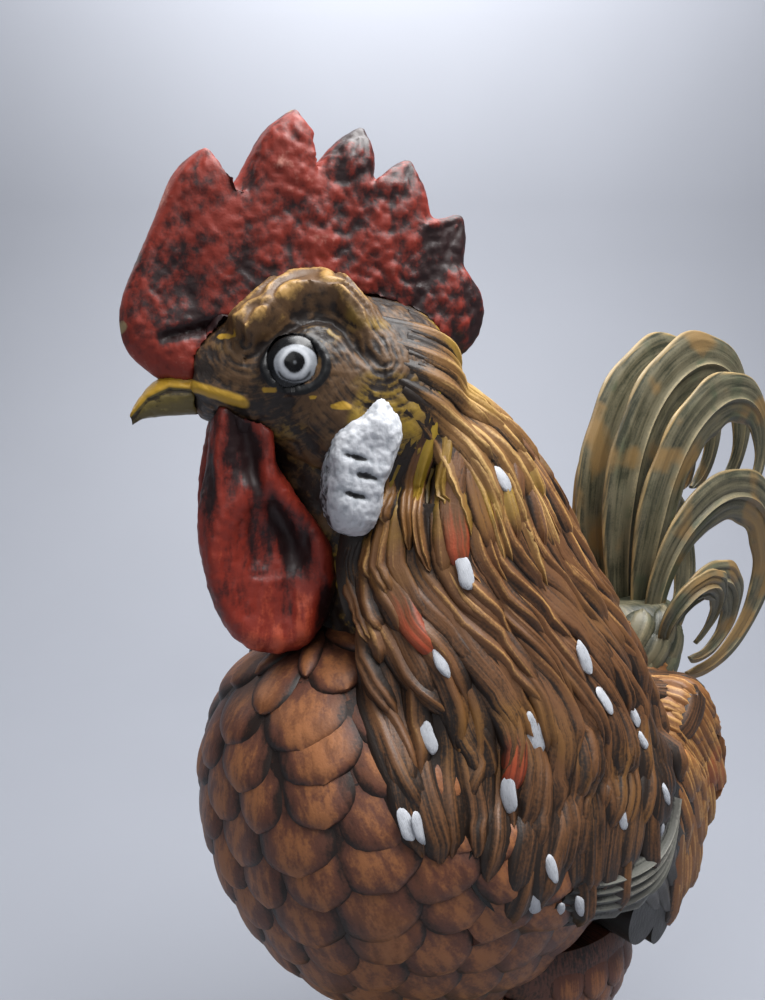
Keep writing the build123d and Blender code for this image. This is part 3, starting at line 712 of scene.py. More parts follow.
def neck_place(tree, across, height):
    """Point of a surface round the neck: across runs 0 to 1 from the cloak's left edge round the back."""
    middle, left, right = neck_frame(height)
    swing = neck_swing(height) * ease(min(across, 1 - across), 0.01, 0.08)
    angle = math.radians(left + (right - left) * across + swing)
    outward = np.array([math.cos(angle), math.sin(angle), 0])
    found = cast(tree, middle + outward * NECK_OUTSIDE, -outward)
    return middle + outward * NECK_INSIDE if found is None else found[0]


def neck_row(heap, tree, dice, share, row):
    """One row of waving locks round the neck."""
    above, long, wide, lift = HACKLE_ROWS[row]
    hem_place, hem_height = np.transpose(CLOAK_HEM)
    width = sizes().lock_width / MM
    rise = sizes().lock_rise / MM
    for k in range(ROW_LOCKS):
        across = (k + 0.5 * (row % 2) + dice.uniform(-0.28, 0.28)) / (ROW_LOCKS - 0.5)
        across = np.clip(across, 0.006, 0.994)
        edge = min(across, 1 - across)
        top = ROOT_FRONT + (ROOT_BACK - ROOT_FRONT) * ease(edge, 0.012, 0.10)
        tip = np.interp(edge, hem_place, hem_height) + above + dice.uniform(-7, 7)
        root = min(tip + long * dice.uniform(0.9, 1.25), top)
        if root - tip < 22:
            continue
        sway = 0.006 * np.sin(2 * math.pi * (share * dice.uniform(0.6, 1.1) + dice.uniform())) * share
        curl = dice.uniform(-0.014, 0.014) * share ** 3
        places = zip(np.clip(across + sway + curl, 0, 1), root + (tip - root) * share)
        line = np.array([neck_place(tree, turn, high) for turn, high in places])
        size = dice.uniform(0.78, 1.22) * wide
        girth = np.clip(np.hypot(line[:, 0], line[:, 1]) / 78, 0.5, 1.05)
        height = (rise * size ** 0.5 * girth ** 0.5 + lift) * arch(share, 0.16, 0.3, 0.88, 0.55)
        tint = dice.uniform()
        half = tongue(share, width * size) * girth
        feather(heap, tree, line, half, height, tint, ridges=dice.integers(1, 4), groove=0.22, **NECK_LOCK)


def blush_locks(heap, tree, share, x, y):
    """Orange-red lock with its tip at a picture place, and its twin on the far side."""
    width = sizes().lock_width / MM
    rise = sizes().lock_rise / MM
    spot = cast(tree, CAMERA_PLACE, picture_ray(x, y))[0]
    middle, left, right = neck_frame(spot[2])
    turn = math.degrees(math.atan2(spot[1] - middle[1], spot[0] - middle[0])) - neck_swing(spot[2])
    near = (turn - left) / (right - left)
    for across in (near, 1 - near):
        line = np.array([neck_place(tree, across, spot[2] + BLUSH_LENGTH * (1 - t)) for t in share])
        height = (rise + 0.6) * arch(share, 0.16, 0.3, 0.88, 0.55)
        mark = 0.6 * ease(share, 0.2, 0.95)
        half = tongue(share, width * 0.95)
        feather(heap, tree, line, half, height, 0.3, mark, ridges=1, groove=0.2, **NECK_LOCK)


def nape_row(heap, tree, dice, side, row):
    """One row of feathers behind the face."""
    part = np.linspace(0, 1, 20)
    for y, z in NAPE_ROOTS:
        y, z = y + 9.5 * row + dice.uniform(-2, 2), z - 4.0 * row + dice.uniform(-1.5, 1.5)
        start = from_head(np.array([side * 90.0, y, z]))
        found = cast(tree, start, np.array([-side, 0, 0]) @ HEAD_AXES)
        if found is None:
            continue
        line = walk(tree, found[0], side, dice.uniform(40, 56), 20)
        half = tongue(part, 8.5 * dice.uniform(0.8, 1.2))
        height = 3.6 * arch(part, 0.15, 0.1, 0.7)
        feather(
            heap, tree, line, half, height, dice.uniform(), count=13, blunt=2.1, ridges=2, groove=0.24,
            sink=2.2)


class ROOSTER_OT_hackle(bpy.types.Operator):
    """Cloak of long neck feathers in overlapping rows"""
    bl_idname = "rooster.hackle"
    bl_label = "Neck feathers"

    def execute(self, context):
        dice = np.random.default_rng(11)
        tree = guide(NECK_GUIDE, 2.4, 6)
        heap = core("hackle_cape", 0.2)
        share = 1 - (1 - np.linspace(0, 1, LOCK_RINGS)) ** 1.35
        for row in range(len(HACKLE_ROWS)):
            neck_row(heap, tree, dice, share, row)
        for x, y in BLUSH_PIXELS:
            blush_locks(heap, tree, share, x, y)
        # Painted light and shade: the relief is scaled by height, so the locks are painted darker toward the
        # hem and lighter toward the head, where the overhead light falls; the yellow gilt is kept to the
        # upper locks.
        for k, part in enumerate(heap.points):
            lighter = 0.58 + 0.52 * ease(part[:, 2], 225, 345)
            gilt = 0.6 * ease(part[:, 2], 290, 345)
            heap.values["relief"][k] = heap.values["relief"][k] * lighter.astype(np.float32)
            heap.values["tint"][k] = (heap.values["tint"][k] * gilt).astype(np.float32)
        # Cast resin, wash wiped off the ridges and ochre dragged over them: streaks that follow each lock.
        material = paint_material(
            "painted_resin_neck_feathers", paints().hackle_wash, paints().hackle_ground,
            paints().hackle_brush, linear("#7A5526"), streak=(26.0, 1.1), levels=(0.26, 0.7, 0.8, 1.2),
            mark=paints().hackle_blush, mark_from=0.65, band=paints().hackle_gilt)
        heap.piece("neck_feathers", material, "hackle_paint", "hackle_cape", sharp=70)
        nape = Heap()
        for side, rows in NAPE_ROWS:
            for row in range(rows):
                nape_row(nape, tree, dice, side, row)
        # The same cast feathers with more ochre and yellow dragged over them, in a lighter ground and brush
        # that also paint in the overhead light: the lightest part of the neck.
        material = paint_material(
            "painted_resin_nape_feathers", paints().hackle_wash, linear("#7C5830"), linear("#C29C60"),
            paints().hackle_gilt, streak=(22.0, 1.0), levels=(0.2, 0.55, 0.7, 1.1))
        nape.piece("nape_feathers", material, "hackle_paint", sharp=70)
        return {"FINISHED"}


class ROOSTER_OT_breast(bpy.types.Operator):
    """Rounded feathers of the breast and belly in rings round the throat"""
    bl_idname = "rooster.breast"
    bl_label = "Breast feathers"

    def execute(self, context):
        dice = np.random.default_rng(5)
        body = skin(*solid("body_casting"))
        tree = guide(["body_casting", "left_wing", "right_wing"], 2.2, 8)
        cover = skin(*solid(*BREAST_COVER))
        pole = unit(THROAT - TRUNK_MIDDLE)
        first = unit(np.cross(pole, [0, 0, 1.0]))
        second = np.cross(pole, first)
        pitch = sizes().scale_pitch / MM
        wide = sizes().scale_width / MM
        rise = sizes().scale_rise / MM
        heap = core("body_casting", 0.35)
        step = pitch / TRUNK_ARC
        tilt, last = BREAST_TILTS
        row = 0
        while tilt < last:
            girth = 2 * math.pi * TRUNK_RADIUS * math.sin(min(tilt, math.pi - tilt))
            ring = max(8, 4 * round(girth / (wide * 0.78) / 4))
            for k in range(ring):
                turn = 2 * math.pi * (k + 0.5 * (row % 2) + dice.uniform(-0.08, 0.08)) / ring
                share = 1 - (1 - np.linspace(0, 1, 13)) ** 1.4
                angles = tilt - 1.4 * step + share * step * dice.uniform(2.65, 2.95)
                sideways = math.cos(turn) * first + math.sin(turn) * second
                headings = [math.cos(a) * pole + math.sin(a) * sideways for a in angles]
                for ground in (tree, body):
                    line = np.array([cast(ground, TRUNK_MIDDLE + h * OUTSIDE, -h)[0] for h in headings])
                    shown = line[9]
                    if shown[1] <= WING_FRONT or np.linalg.norm(snap(body, shown)[0] - shown) <= STAND_OFF:
                        break
                outward = unit(shown - TRUNK_MIDDLE)
                over = cast(cover, shown + outward * 60, -outward)
                hidden = over is not None and np.dot(over[0] - shown, outward) > COVER_DEPTH
                if line[:, 2].max() > BREAST_TOP or hidden:
                    continue
                size = dice.uniform(0.9, 1.12)
                height = 0.3 + (rise - 0.3) * arch(share, 0, 0.35, 0.88, 0.35, 0.92)
                half = shingle(share, girth / ring * 1.3 * size)
                feather(heap, ground, line, half, height * size, dice.uniform(), count=15, blunt=2.5)
            tilt += step
            row += 1
        # Cast resin, brown wash wiped thin: warm rounded scales with a dark line in each gap.
        material = paint_material(
            "painted_resin_breast_feathers", paints().breast_wash, paints().breast_ground,
            paints().breast_brush, linear("#7A4A26"), streak=(7.0, 3.0), patch=24.0, gloss=0.5,
            levels=(0.33, 0.82, 0.78, 1.15))
        heap.piece("breast_feathers", material, "breast_paint", "body_casting")
        return {"FINISHED"}


def throat_tube(heap):
    """Skin of the throat between head and breast."""
    turns = np.radians(np.arange(0, 360, 4))
    steps = np.linspace(0, 1, THROAT_STEPS)
    heights, middles, depths, widths = (
        np.interp(steps, np.linspace(0, 1, 5), row) for row in zip(*THROAT_RINGS))
    narrow = 0.6 + 0.4 * (0.5 + 0.5 * np.cos(turns))
    throat = np.stack([
        np.outer(widths, np.sin(turns) * narrow), middles[:, None] + np.outer(depths, np.cos(turns)),
        np.repeat(heights[:, None], len(turns), axis=1)], axis=-1).reshape(-1, 3)
    rough = grain(throat, 5.0, 81) + 0.6 * grain(throat, 2.4, 82)
    flare = unit(np.stack([throat[:, 0], throat[:, 1] - np.repeat(middles, len(turns)), 0 * rough], axis=1))
    walls = ring_faces(THROAT_STEPS, len(turns))
    heap.add(from_head(throat + flare * (0.9 * rough)[:, None]), [walls], np.clip(0.3 + 0.3 * rough, 0, 1))


class ROOSTER_OT_head(bpy.types.Operator):
    """Face with its brow, lids and stippled cheeks"""
    bl_idname = "rooster.head"
    bl_label = "Face"

    def execute(self, context):
        points, quads, normals = even_copy(["head_casting"], 0.65, 2)
        local = to_head(points)
        lx, ly, lz = local.T
        side = np.abs(lx)
        knots = range(len(BROW_LINE))
        fine = np.linspace(0, len(BROW_LINE) - 1, BROW_STEPS)
        dense = np.stack([np.interp(fine, knots, row) for row in zip(*BROW_LINE)], axis=1)
        eye_gap = np.hypot(ly - EYE_ALONG, lz)
        reach = np.full(len(points), 99.0)
        along = np.zeros(len(points))
        inside = np.zeros(len(points))
        for i, (y, z) in enumerate(dense):
            gap = np.hypot(ly - y, lz - z)
            near = gap < reach
            along = np.where(near, i / BROW_STEPS, along)
            inside = np.where(near, eye_gap < math.hypot(y - EYE_ALONG, z), inside)
            reach = np.minimum(reach, gap)
        outer = ease(side, 2.5, 7.5)
        beyond = np.where(inside > 0, -reach, reach)
        crest = ease(beyond, -3.0, 0.4) * (1 - ease(beyond, 3.5, 10)) * outer
        crest *= (1 - 0.9 * ease(along, 0.58, 0.9)) * ease(along, 0.0, 0.12)
        hollow = bell(beyond, -5.0, 2.4) * outer * ease(lz, -2, 5)
        hair = np.sin(2 * math.pi * (reach / 2.6 + 0.7 * grain(points, 6, 2))) * bell(reach, 2, 7) * outer
        lid = bell(np.hypot(ly - EYE_ALONG, lz * 1.12), 9.5, 1.6) * outer
        stipple = grain(points, 2.4, 3) * 0.6 + grain(points, 1.3, 4) * 0.6
        lumps = grain(points, 6.5, 8) + 0.6 * grain(points, 3.6, 9)
        gape_line = np.interp(-ly, (20, 26, 43), (-15.5, -12.5, -7.0))
        gape = bell(lz, gape_line, 2.4) * ease(-ly, 23, 29) * ease(side, 3, 7)
        cheek = ease(-lz, 4, 16) * (1 - gape)
        touch = np.zeros(len(points))
        for y, z, wide, high in FACE_TOUCHES:
            spread = np.hypot((ly - y) / wide, (lz - z) / high) + 0.35 * grain(points, 1.6, 14)
            touch = np.maximum(touch, (1 - ease(spread, 0.6, 1.25)) * ease(side, 3, 7))
        push = sizes().brow_rise / MM * crest - 2.8 * hollow + 0.55 * hair * (0.3 + crest) + 1.5 * lid
        push += 0.3 * stipple + 0.8 * lumps * cheek + 1.3 * gape
        relief = np.clip(
            0.36 + 0.5 * crest + 0.22 * hair + 0.24 * stipple + 0.16 * lumps - 0.3 * hollow, 0, 1.2)
        strand = np.stack([along * 80, reach, lx], axis=1)
        heap = pushed(points, quads, normals, push, relief, np.maximum(gape, 0.62 * touch), lid * 1.3, strand)
        throat_tube(heap)
        # Cast resin stippled with a stiff brush: mottled brown, ochre on the brow and black round the eye.
        material = paint_material(
            "painted_resin_face", paints().face_wash, paints().face_ground, paints().face_brush,
            paints().hackle_gilt, streak=(14.0, 1.2), patch=18.0, gloss=0.52,
            levels=(0.15, 0.55, 0.75, 1.15), mark=linear("#0E0E10"), mark_from=0.62,
            band=paints().beak_ground)
        heap.piece("face", material, "face_paint", "head_casting")
        return {"FINISHED"}


class ROOSTER_OT_comb(bpy.types.Operator):
    """Comb with knobbly red flesh and worn points"""
    bl_idname = "rooster.comb"
    bl_label = "Comb"

    def execute(self, context):
        points, quads, normals = even_copy(["comb"], 0.9, 1)
        local = to_head(points)
        lx, ly, lz = local.T
        deep = sizes().comb_lumps / MM
        lumps = 1 - 2 * knobs(points + 2.4 * grain(points, 5, 2)[:, None], 7.0, 4)
        small = 1 - 2 * knobs(points + grain(points, 3, 6)[:, None], 3.4, 7)
        folds = grain(local * np.array([1.0, 1.0, 0.4]), 9.0, 5)
        broad = grain(points, 19.0, 25)
        rear = ease(ly, -34, -6)
        face = ease(np.abs(lx), 3, 7)
        front_dish = bell(ly, -45, 10) * bell(lz, 28, 13) * face
        knobbly = (0.22 + 0.3 * rear) * lumps + (0.1 + 0.2 * rear) * small
        push = deep * (knobbly + folds + broad + 0.2 * grain(points, 1.6, 9))
        crease_line = 8.5 + 0.26 * (ly + 51.7)
        crease = bell(lz, crease_line, 1.7) * ease(-ly, 27, 34) * (1 - ease(-ly, 50, 56))
        push = push * (0.3 + 0.7 * face) - 3.0 * crease * face - 2.2 * front_dish
        relief = 0.5 + 0.24 * lumps * (0.5 + 0.5 * rear) + 0.16 * small * (0.4 + 0.6 * rear)
        relief += 0.24 * folds + 0.32 * broad
        # Painted light: the front of the comb gets a higher relief and so a lighter paint; the crease takes
        # the dark wash.
        relief = np.clip(relief + 0.14 * (1 - rear) - 0.9 * crease * face, 0, 1.2)
        chip = np.zeros(len(points))
        crown = np.zeros(len(points))
        for y, z in COMB_TIPS:
            gap = np.hypot(ly - y, lz - z) + 2.5 * grain(points, 3.0, 15)
            if y < 0:
                chip = np.maximum(chip, 1 - ease(gap, 0.5, 3.6))
            crown = np.maximum(crown, 1 - ease(gap, 3, 15))
            if y > -50:
                near = np.hypot(ly - y, lz - z)
                pinch = -0.3 * bell(near, 0, 7)
                draw = np.stack([
                    pinch * lx, 2.2 * bell(near, 0, 5) + pinch * (ly - y), 2.4 * bell(near, 0, 5.5)], axis=1)
                points = points + draw @ HEAD_AXES
        relief *= 1 - 0.35 * crown
        heap = pushed(points, quads, normals, push, relief, 0, chip, local[:, ::-1])
        # Cast resin, red over a dark wash and rubbed back, with a greyish-pink dry-brush that carries a
        # painted sheen on the ridges: knobbly flesh, dull in dents and paler on ridges.
        material = paint_material(
            "painted_resin_comb", paints().comb_wash, paints().comb_ground, paints().comb_brush_and_sheen,
            streak=(5.0, 4.0), patch=20.0, gloss=0.52, levels=(0.27, 0.74, 0.82, 1.2),
            mark=linear("#A08A62"), mark_from=0.95)
        heap.piece("comb_flesh", material, "comb_paint", "comb")
        return {"FINISHED"}


class ROOSTER_OT_wattles(bpy.types.Operator):
    """Wattles with a raised rim, a dished middle and hanging folds"""
    bl_idname = "rooster.wattles"
    bl_label = "Wattles"

    def execute(self, context):
        # The same red brushed downward: hanging streaks with an orange edge and a dark furrow.
        material = paint_material(
            "painted_resin_wattle", paints().comb_wash, paints().comb_ground, linear("#BC5236"),
            streak=(9.0, 2.4), patch=14.0, gloss=0.45, levels=(0.28, 0.78, 0.84, 1.2))
        for label in ("left", "right"):
            points, quads, normals = even_copy([label + "_wattle"], 0.9, 2)
            local = to_head(points)
            lx, ly, lz = local.T
            folds = grain(local * np.array([0.5, 1.0, 0.18]), 3.6, 12)
            broad = grain(local * np.array([0.5, 1.0, 0.3]), 9.0, 13)
            middle = np.hypot((ly + 21) / 17, (lz + 66) / 27)
            rim = bell(middle, 1.0, 0.2)
            furrow_line = np.interp(-lz, (15, 35, 60, 80), (-29, -25, -13, -8))
            furrow = bell(ly, furrow_line, 3.2) * ease(-lz, 12, 24) * (1 - ease(-lz, 62, 76))
            face = ease(np.abs(lx), 7, 11)
            dish = 1 - ease(middle, 0.35, 0.85)
            push = 0.8 * folds + 1.3 * broad + 0.3 * grain(points, 1.8, 9)
            push += (1.9 * rim - 1.2 * dish - 2.6 * furrow) * face
            relief = np.clip(0.5 + 0.32 * folds + 0.22 * broad + (0.3 * rim - 0.55 * furrow) * face, 0, 1.2)
            heap = pushed(points, quads, normals, push, relief, strand=local[:, ::-1])
            heap.piece(label + "_wattle_flesh", material, "comb_paint", label + "_wattle")
        return {"FINISHED"}


class ROOSTER_OT_ear_lobes(bpy.types.Operator):
    """Rough white ear lobes with dark slits"""
    bl_idname = "rooster.ear_lobes"
    bl_label = "Ear lobes"

    def execute(self, context):
        # Thick chalky white over rough resin: a bright matt skin with dark slits.
        material = paint_material(
            "painted_resin_ear_lobe", linear("#3A3A3C"), linear("#AEB2B8"), paints().white,
            streak=(4.0, 2.0), patch=9.0, gloss=0.62, grit=1.2, bump=0.6, levels=(0.08, 0.4, 0.45, 0.8))
        for label in ("left", "right"):
            points, quads, normals = even_copy([label + "_ear_lobe"], 0.6, 1)
            local = to_head(points)
            lx, ly, lz = local.T
            rough = 0.7 * grain(points, 2.4, 21) + 0.8 * grain(points, 1.2, 22)
            slit = np.zeros(len(points))
            for place, height in LOBE_SLITS:
                slit += bell(ly, place, 3.4) * bell(lz + 0.25 * (ly - place), height, 0.9)
            face = ease(np.abs(lx), 24, 29)
            relief = np.clip(0.75 + 0.2 * rough - 1.3 * slit * face - 0.5 * (1 - face), 0, 1.2)
            push = 0.34 * rough + 0.6 * grain(points, 6.0, 23) - 1.6 * slit * face
            heap = pushed(points, quads, normals, push, relief)
            heap.piece(label + "_ear_lobe_skin", material, "white_paint", label + "_ear_lobe")
        return {"FINISHED"}


class ROOSTER_OT_beak(bpy.types.Operator):
    """Beak with its mouth line and nostrils"""
    bl_idname = "rooster.beak"
    bl_label = "Beak"

    def execute(self, context):
        points, quads, normals = even_copy(["beak"], 0.55, 1)
        local = to_head(points)
        lx, ly, lz = local.T
        band_line = np.interp(-ly, (32, 43, 51, 58, 64), (-9.5, -6.2, -5.6, -9.0, -16.0))
        above = lz - band_line
        band = ease(above, -2.6, -1.4)
        line = bell(above, -2.8, 0.6) * ease(np.abs(lx), 0.5, 2)
        nostril = bell(ly, -46, 1.8) * bell(lz, -6, 0.8)
        point = ease(-ly, 58, 63)
        push = 0.6 * band - 0.5 * line - 0.7 * nostril + 0.16 * grain(points, 1.8, 31)
        relief = 0.5 + 0.35 * band + 0.2 * grain(points, 3, 32) - 0.3 * line - 0.8 * nostril - 0.2 * point
        heap = pushed(
            points, quads, normals, push, np.clip(relief, 0, 1.2), 0.9 * band, 0, local[:, (1, 2, 0)])
        # Ochre enamel over an olive ground that also paints the shade on the lower beak: a smooth half-gloss
        # horn, yellow along the bill.
        material = paint_material(
            "painted_resin_beak", linear("#3A3020"), paints().beak_olive_and_shade, linear("#A89A5A"),
            streak=(8.0, 1.2), patch=10.0, gloss=0.4, levels=(0.1, 0.4, 0.6, 1.1), band=paints().beak_ground)
        heap.piece("beak_horn", material, "beak_paint", "beak")
        return {"FINISHED"}


class ROOSTER_OT_eyes(bpy.types.Operator):
    """Eyes painted with a pale ring, a black pupil and a painted glint in it"""
    bl_idname = "rooster.eyes"
    bl_label = "Eyes"

    def execute(self, context):
        # Gloss enamel over the casting: a smooth bright coat with a slightly wavering brushed edge, and a
        # painted glint in the middle of the pupil.
        material, tree, shader = fresh_material("gloss_enamel_eye")
        waver = noise(tree, add(tree, "ShaderNodeTexCoord").outputs["Object"], 1 / (1.6 * MM), 3.0)
        pale = blend(tree, waver, linear("#8A8E94"), linear("#B4B8BE"))
        base = blend(tree, value_of(tree, "relief"), linear("#0C0C0E"), pale)
        base = blend(tree, value_of(tree, "mark"), base, linear("#D2D5DA"))
        tree.links.new(base, shader.inputs["Base Color"])
        tree.links.new(roughness(tree, waver, 0.22, 0.34), shader.inputs["Roughness"])
        for label in ("left", "right"):
            points, quads, normals = even_copy([label + "_eye"], 0.4, 2)
            local = to_head(points)
            lx, ly, lz = local.T
            waver = 0.35 * grain(points, 2.4, 43)
            gap = np.hypot(ly + 12.5, lz - 0.5) + waver
            opening = np.hypot(ly - EYE_ALONG, lz / 0.84) + waver
            # Pale iris inside the opening, and a painted glint: a grey spot in the middle of the black pupil.
            pale = ease(gap, 3.0, 3.4) * (1 - ease(opening, 6.7, 7.2)) + 0.4 * (1 - ease(gap, 0.5, 0.9))
            lower = bell(gap, 5.7, 0.45) * ease(-lz, 1.5, 3.0)
            ring = bell(gap, 4.1, 0.7) * (1 - lower) * ease(gap, 3.0, 3.4)
            push = 0.08 * grain(points, 2.0, 41)
            heap = pushed(points, quads, normals, push, np.clip(pale - lower, 0, 1), 0, ring)
            heap.piece(label + "_eye_enamel", material, "eye_paint", label + "_eye")
        return {"FINISHED"}


def side_line(tree, side, start, end, bow, rings):
    """Line on the outside of the figure between two side-view places in mm, bowed upward."""
    share = np.linspace(0, 1, rings)
    ys = start[0] + (end[0] - start[0]) * share
    zs = start[1] + (end[1] - start[1]) * share + bow * np.sin(math.pi * share)
    line = []
    for y, z in zip(ys, zs):
        found = cast(tree, (side * SIDE_OUTSIDE, y, z), (-side, 0, 0))
        line.append(np.array([side * SIDE_INSIDE, y, z]) if found is None else found[0])
    return np.array(line)


class ROOSTER_OT_wings(bpy.types.Operator):
    """Folded wings with long feathers along the lower edge"""
    bl_idname = "rooster.wings"
    bl_label = "Wings"

    def execute(self, context):
        # Grey brushed along cast grooves: long dull lines, paler on each ridge.
        material = paint_material(
            "painted_resin_wing", linear("#1E1D1B"), paints().wing_ground, linear("#8A877E"),
            linear("#4C4A45"), streak=(22.0, 0.9), patch=22.0, gloss=0.5, mark=linear("#3A3733"))
        for label, side in SIDES:
            dice = np.random.default_rng(17)
            tree = guide([label + "_wing"], 1.8, 6)
            heap = core(label + "_wing")
            share = np.linspace(0, 1, 18)
            for k, tip in enumerate(FLIGHT_TIPS):
                line = side_line(tree, side, (22 + 9 * k, 207 + 3 * k), tip, 2, 18)
                lift = (0.3 + 1.5 * ease(share, 0, 0.5)) * (1 - 0.4 * ease(share, 0.9, 1))
                half = rounded(share, 8.5)
                feather(
                    heap, tree, line, half, lift, dice.uniform(), 0.6, count=11, blunt=2.6, ridges=2,
                    groove=0.25)
            knots = range(len(WING_EDGE))
            fine = np.linspace(0, len(WING_EDGE) - 1, EDGE_STEPS)
            for k in range(EDGE_FEATHERS):
                path = np.array([(y, z + up * k) for y, z, up in WING_EDGE], dtype=float)
                path[0, 0] += 3 * k
                spots = np.stack([np.interp(fine, knots, row) for row in path.T], axis=1)
                for _ in range(EDGE_ROUNDS):
                    spots[1:-1] = (spots[:-2] + spots[1:-1] + spots[2:]) / 3
                line = np.array([side_line(tree, side, spot, spot, 0, 1)[0] for spot in spots[::3]])
                long_share = np.linspace(0, 1, len(line))
                lift = 1.0 + 0.5 * k + 1.2 * ease(long_share, 0, 0.4)
                half = rounded(long_share, 7.5)
                feather(
                    heap, tree, line, half, lift, dice.uniform(), count=13, blunt=2.2, ridges=2, groove=0.3)
            heap.piece(label + "_wing_feathers", material, "wing_paint", label + "_wing")
        return {"FINISHED"}


SADDLE_SHARE = np.linspace(0, 1, 18)
SADDLE_LIFT = arch(SADDLE_SHARE, 0.2, 0.2, 0.8)


def saddle_lock(heap, tree, line, rise, dice, mark=0.0, size=1.0, sink=2.2):
    """One hanging lock of the saddle."""
    half = tongue(SADDLE_SHARE, SADDLE_LOCK_WIDTH * size)
    height = rise * SADDLE_LIFT
    feather(heap, tree, line, half, height, dice.uniform(), mark, 13, 2.1, ridges=3, groove=0.28, sink=sink)


def saddle_side(heap, tree, dice, side):
    """Locks on the side of the rump."""
    for start, tip, count, spread in SADDLE_SIDE_ROWS:
        for k in range(count):
            shift = spread * k + dice.uniform(-2, 2)
            drop = 6 * math.sin(math.pi * k / (count - 1)) - dice.uniform(0, 8)
            root = (start[0] + 0.8 * shift, start[1])
            line = side_line(tree, side, root, (tip[0] + shift, tip[1] + drop), 4, 18)
            mark = (0.35 if dice.uniform() < 0.3 else 0.0) * ease(SADDLE_SHARE, 0.2, 0.6)
            saddle_lock(heap, tree, line, 3.4, dice, mark, dice.uniform(0.85, 1.15))


def saddle_rear(heap, tree, dice, side):
    """Locks on the rear face, under the tail."""
    for top, tip in SADDLE_REAR_ROWS:
        for x in np.arange(16, 80, 8.0):
            across = side * (x + dice.uniform(-2, 2))
            low = tip - dice.uniform(-5, 5)
            starts = [(across * (1 + 0.08 * t), 240, top + (low - top) * t) for t in SADDLE_SHARE]
            found = [cast(tree, start, (0, -1, 0)) for start in starts]
            if None in found or x < 34 and top > 230:
                continue
            line = np.array([spot[0] for spot in found])
            if line[:, 1].min() < 55 or np.abs(np.diff(line[:, 1])).max() > 7:
                continue
            saddle_lock(heap, tree, line, 3.0, dice)


def saddle_back(heap, tree, dice, side):
    """Locks from the back over the edge of the saddle."""
    for along, long, leans, fall in SADDLE_BACK_ROWS:
        for lean in leans:
            lean = lean + dice.uniform(-2.5, 2.5)
            line = []
            for t in SADDLE_SHARE:
                angle = math.radians(lean + fall * t)
                outward = np.array([side * math.sin(angle), 0, math.cos(angle)])
                line.append(cast(tree, np.array([0, along + long * t, 214]) + outward * 150, -outward)[0])
            saddle_lock(heap, tree, np.array(line), 3.6, dice, sink=2.6)


class ROOSTER_OT_saddle(bpy.types.Operator):
    """Long hanging feathers of the back and rump"""
    bl_idname = "rooster.saddle"
    bl_label = "Saddle feathers"

    def execute(self, context):
        tree = guide(SADDLE_GUIDE, 2.6, 10)
        # Cast resin with orange-brown dragged over a dark wash: warm hanging locks.
        material = paint_material(
            "painted_resin_saddle_feathers", paints().hackle_wash, linear("#7A502C"), linear("#B88A50"),
            linear("#A8592F"), streak=(22.0, 1.1), levels=(0.18, 0.52, 0.68, 1.1),
            mark=paints().hackle_blush, mark_from=0.6)
        for label, side in SIDES:
            dice = np.random.default_rng(23)
            heap = core(label + "_saddle", 0.4)
            for rows in (saddle_side, saddle_rear, saddle_back):
                rows(heap, tree, dice, side)
            heap.piece(label + "_saddle_feathers", material, "wing_paint", label + "_saddle", sharp=70)
        return {"FINISHED"}


def plume_pair(name, material):
    """The left and the right plume of one kind, with a rib and long grooves."""
    base_x, along, long, lean, turn, late, wide, thick, splay = PLUMES[name]
    deep = sizes().plume_groove / MM
    rings = 90
    count = 21
    across = columns_of(count)
    share = np.linspace(0, 1, rings)
    heading = np.radians(lean + turn * share ** late)
    step = long / (rings - 1)
    ys = np.concatenate([[0], np.cumsum(step * np.sin(heading[:-1]))])
    zs = np.concatenate([[0], np.cumsum(step * np.cos(heading[:-1]))])
    swell = 0.5 + 0.5 * np.minimum(1, share / 0.25) - 0.8 * np.maximum(0, share - 0.55) / 0.45
    half = wide / 2 * swell * (1 + 0.05 * np.sin(share * 47) * ease(share, 0.2, 0.4))
    half[-3:] *= (0.85, 0.6, 0.25)
    body = np.sqrt(np.clip(1 - np.abs(across) ** 2.6, 0, 1))
    grooves = 0.5 + 0.5 * np.cos(math.pi * 5.5 * across)
    rib = bell(across, 0, 0.12)
    height = np.outer(thick / 2 * np.maximum(swell, 0.4), body)
    height += deep * (np.outer(swell, (grooves - 0.6) * body) + np.outer(swell, rib))
    relief = np.tile(np.clip(0.4 + 0.22 * grooves + 0.5 * rib, 0, 1.2), rings)
    edge = np.tile(0.55 * ease(np.abs(across), 0.7, 1.0), rings)
    travel = np.repeat(share * long, count)
    strand = np.stack([travel, np.outer(half, across).ravel(), np.full(rings * count, wide)], axis=1)
    for label, side in SIDES:
        flat_y = ys[:, None] + np.cos(heading)[:, None] * half[:, None] * across
        flat_z = zs[:, None] - np.sin(heading)[:, None] * half[:, None] * across
        sheets = []
        for face in (1, -1):
            x = height * face
            tilt = math.radians(splay)
            placed_x = base_x + x * math.cos(tilt) + flat_z * math.sin(tilt)
            placed_z = PLUME_BASE - x * math.sin(tilt) + flat_z * math.cos(tilt)
            sheets.append(
                np.stack([side * placed_x, TAIL_PLACE + along + flat_y, placed_z], axis=-1).reshape(-1, 3))
        faces = sheet_faces(rings, count)
        if side < 0:
            faces = [part[:, ::-1] for part in faces]
        heap = Heap()
        spots = np.vstack(sheets)
        patches = np.clip(0.2 + 0.8 * grain(spots, 18.0, 73) + 0.3 * grain(spots, 7.0, 74), 0, 0.62)
        heap.add(spots, faces, np.tile(relief, 2), patches, np.tile(edge, 2), np.vstack([strand, strand]))
        heap.piece(label + "_" + name + "_feather", material, "tail_paint", label + "_" + name)


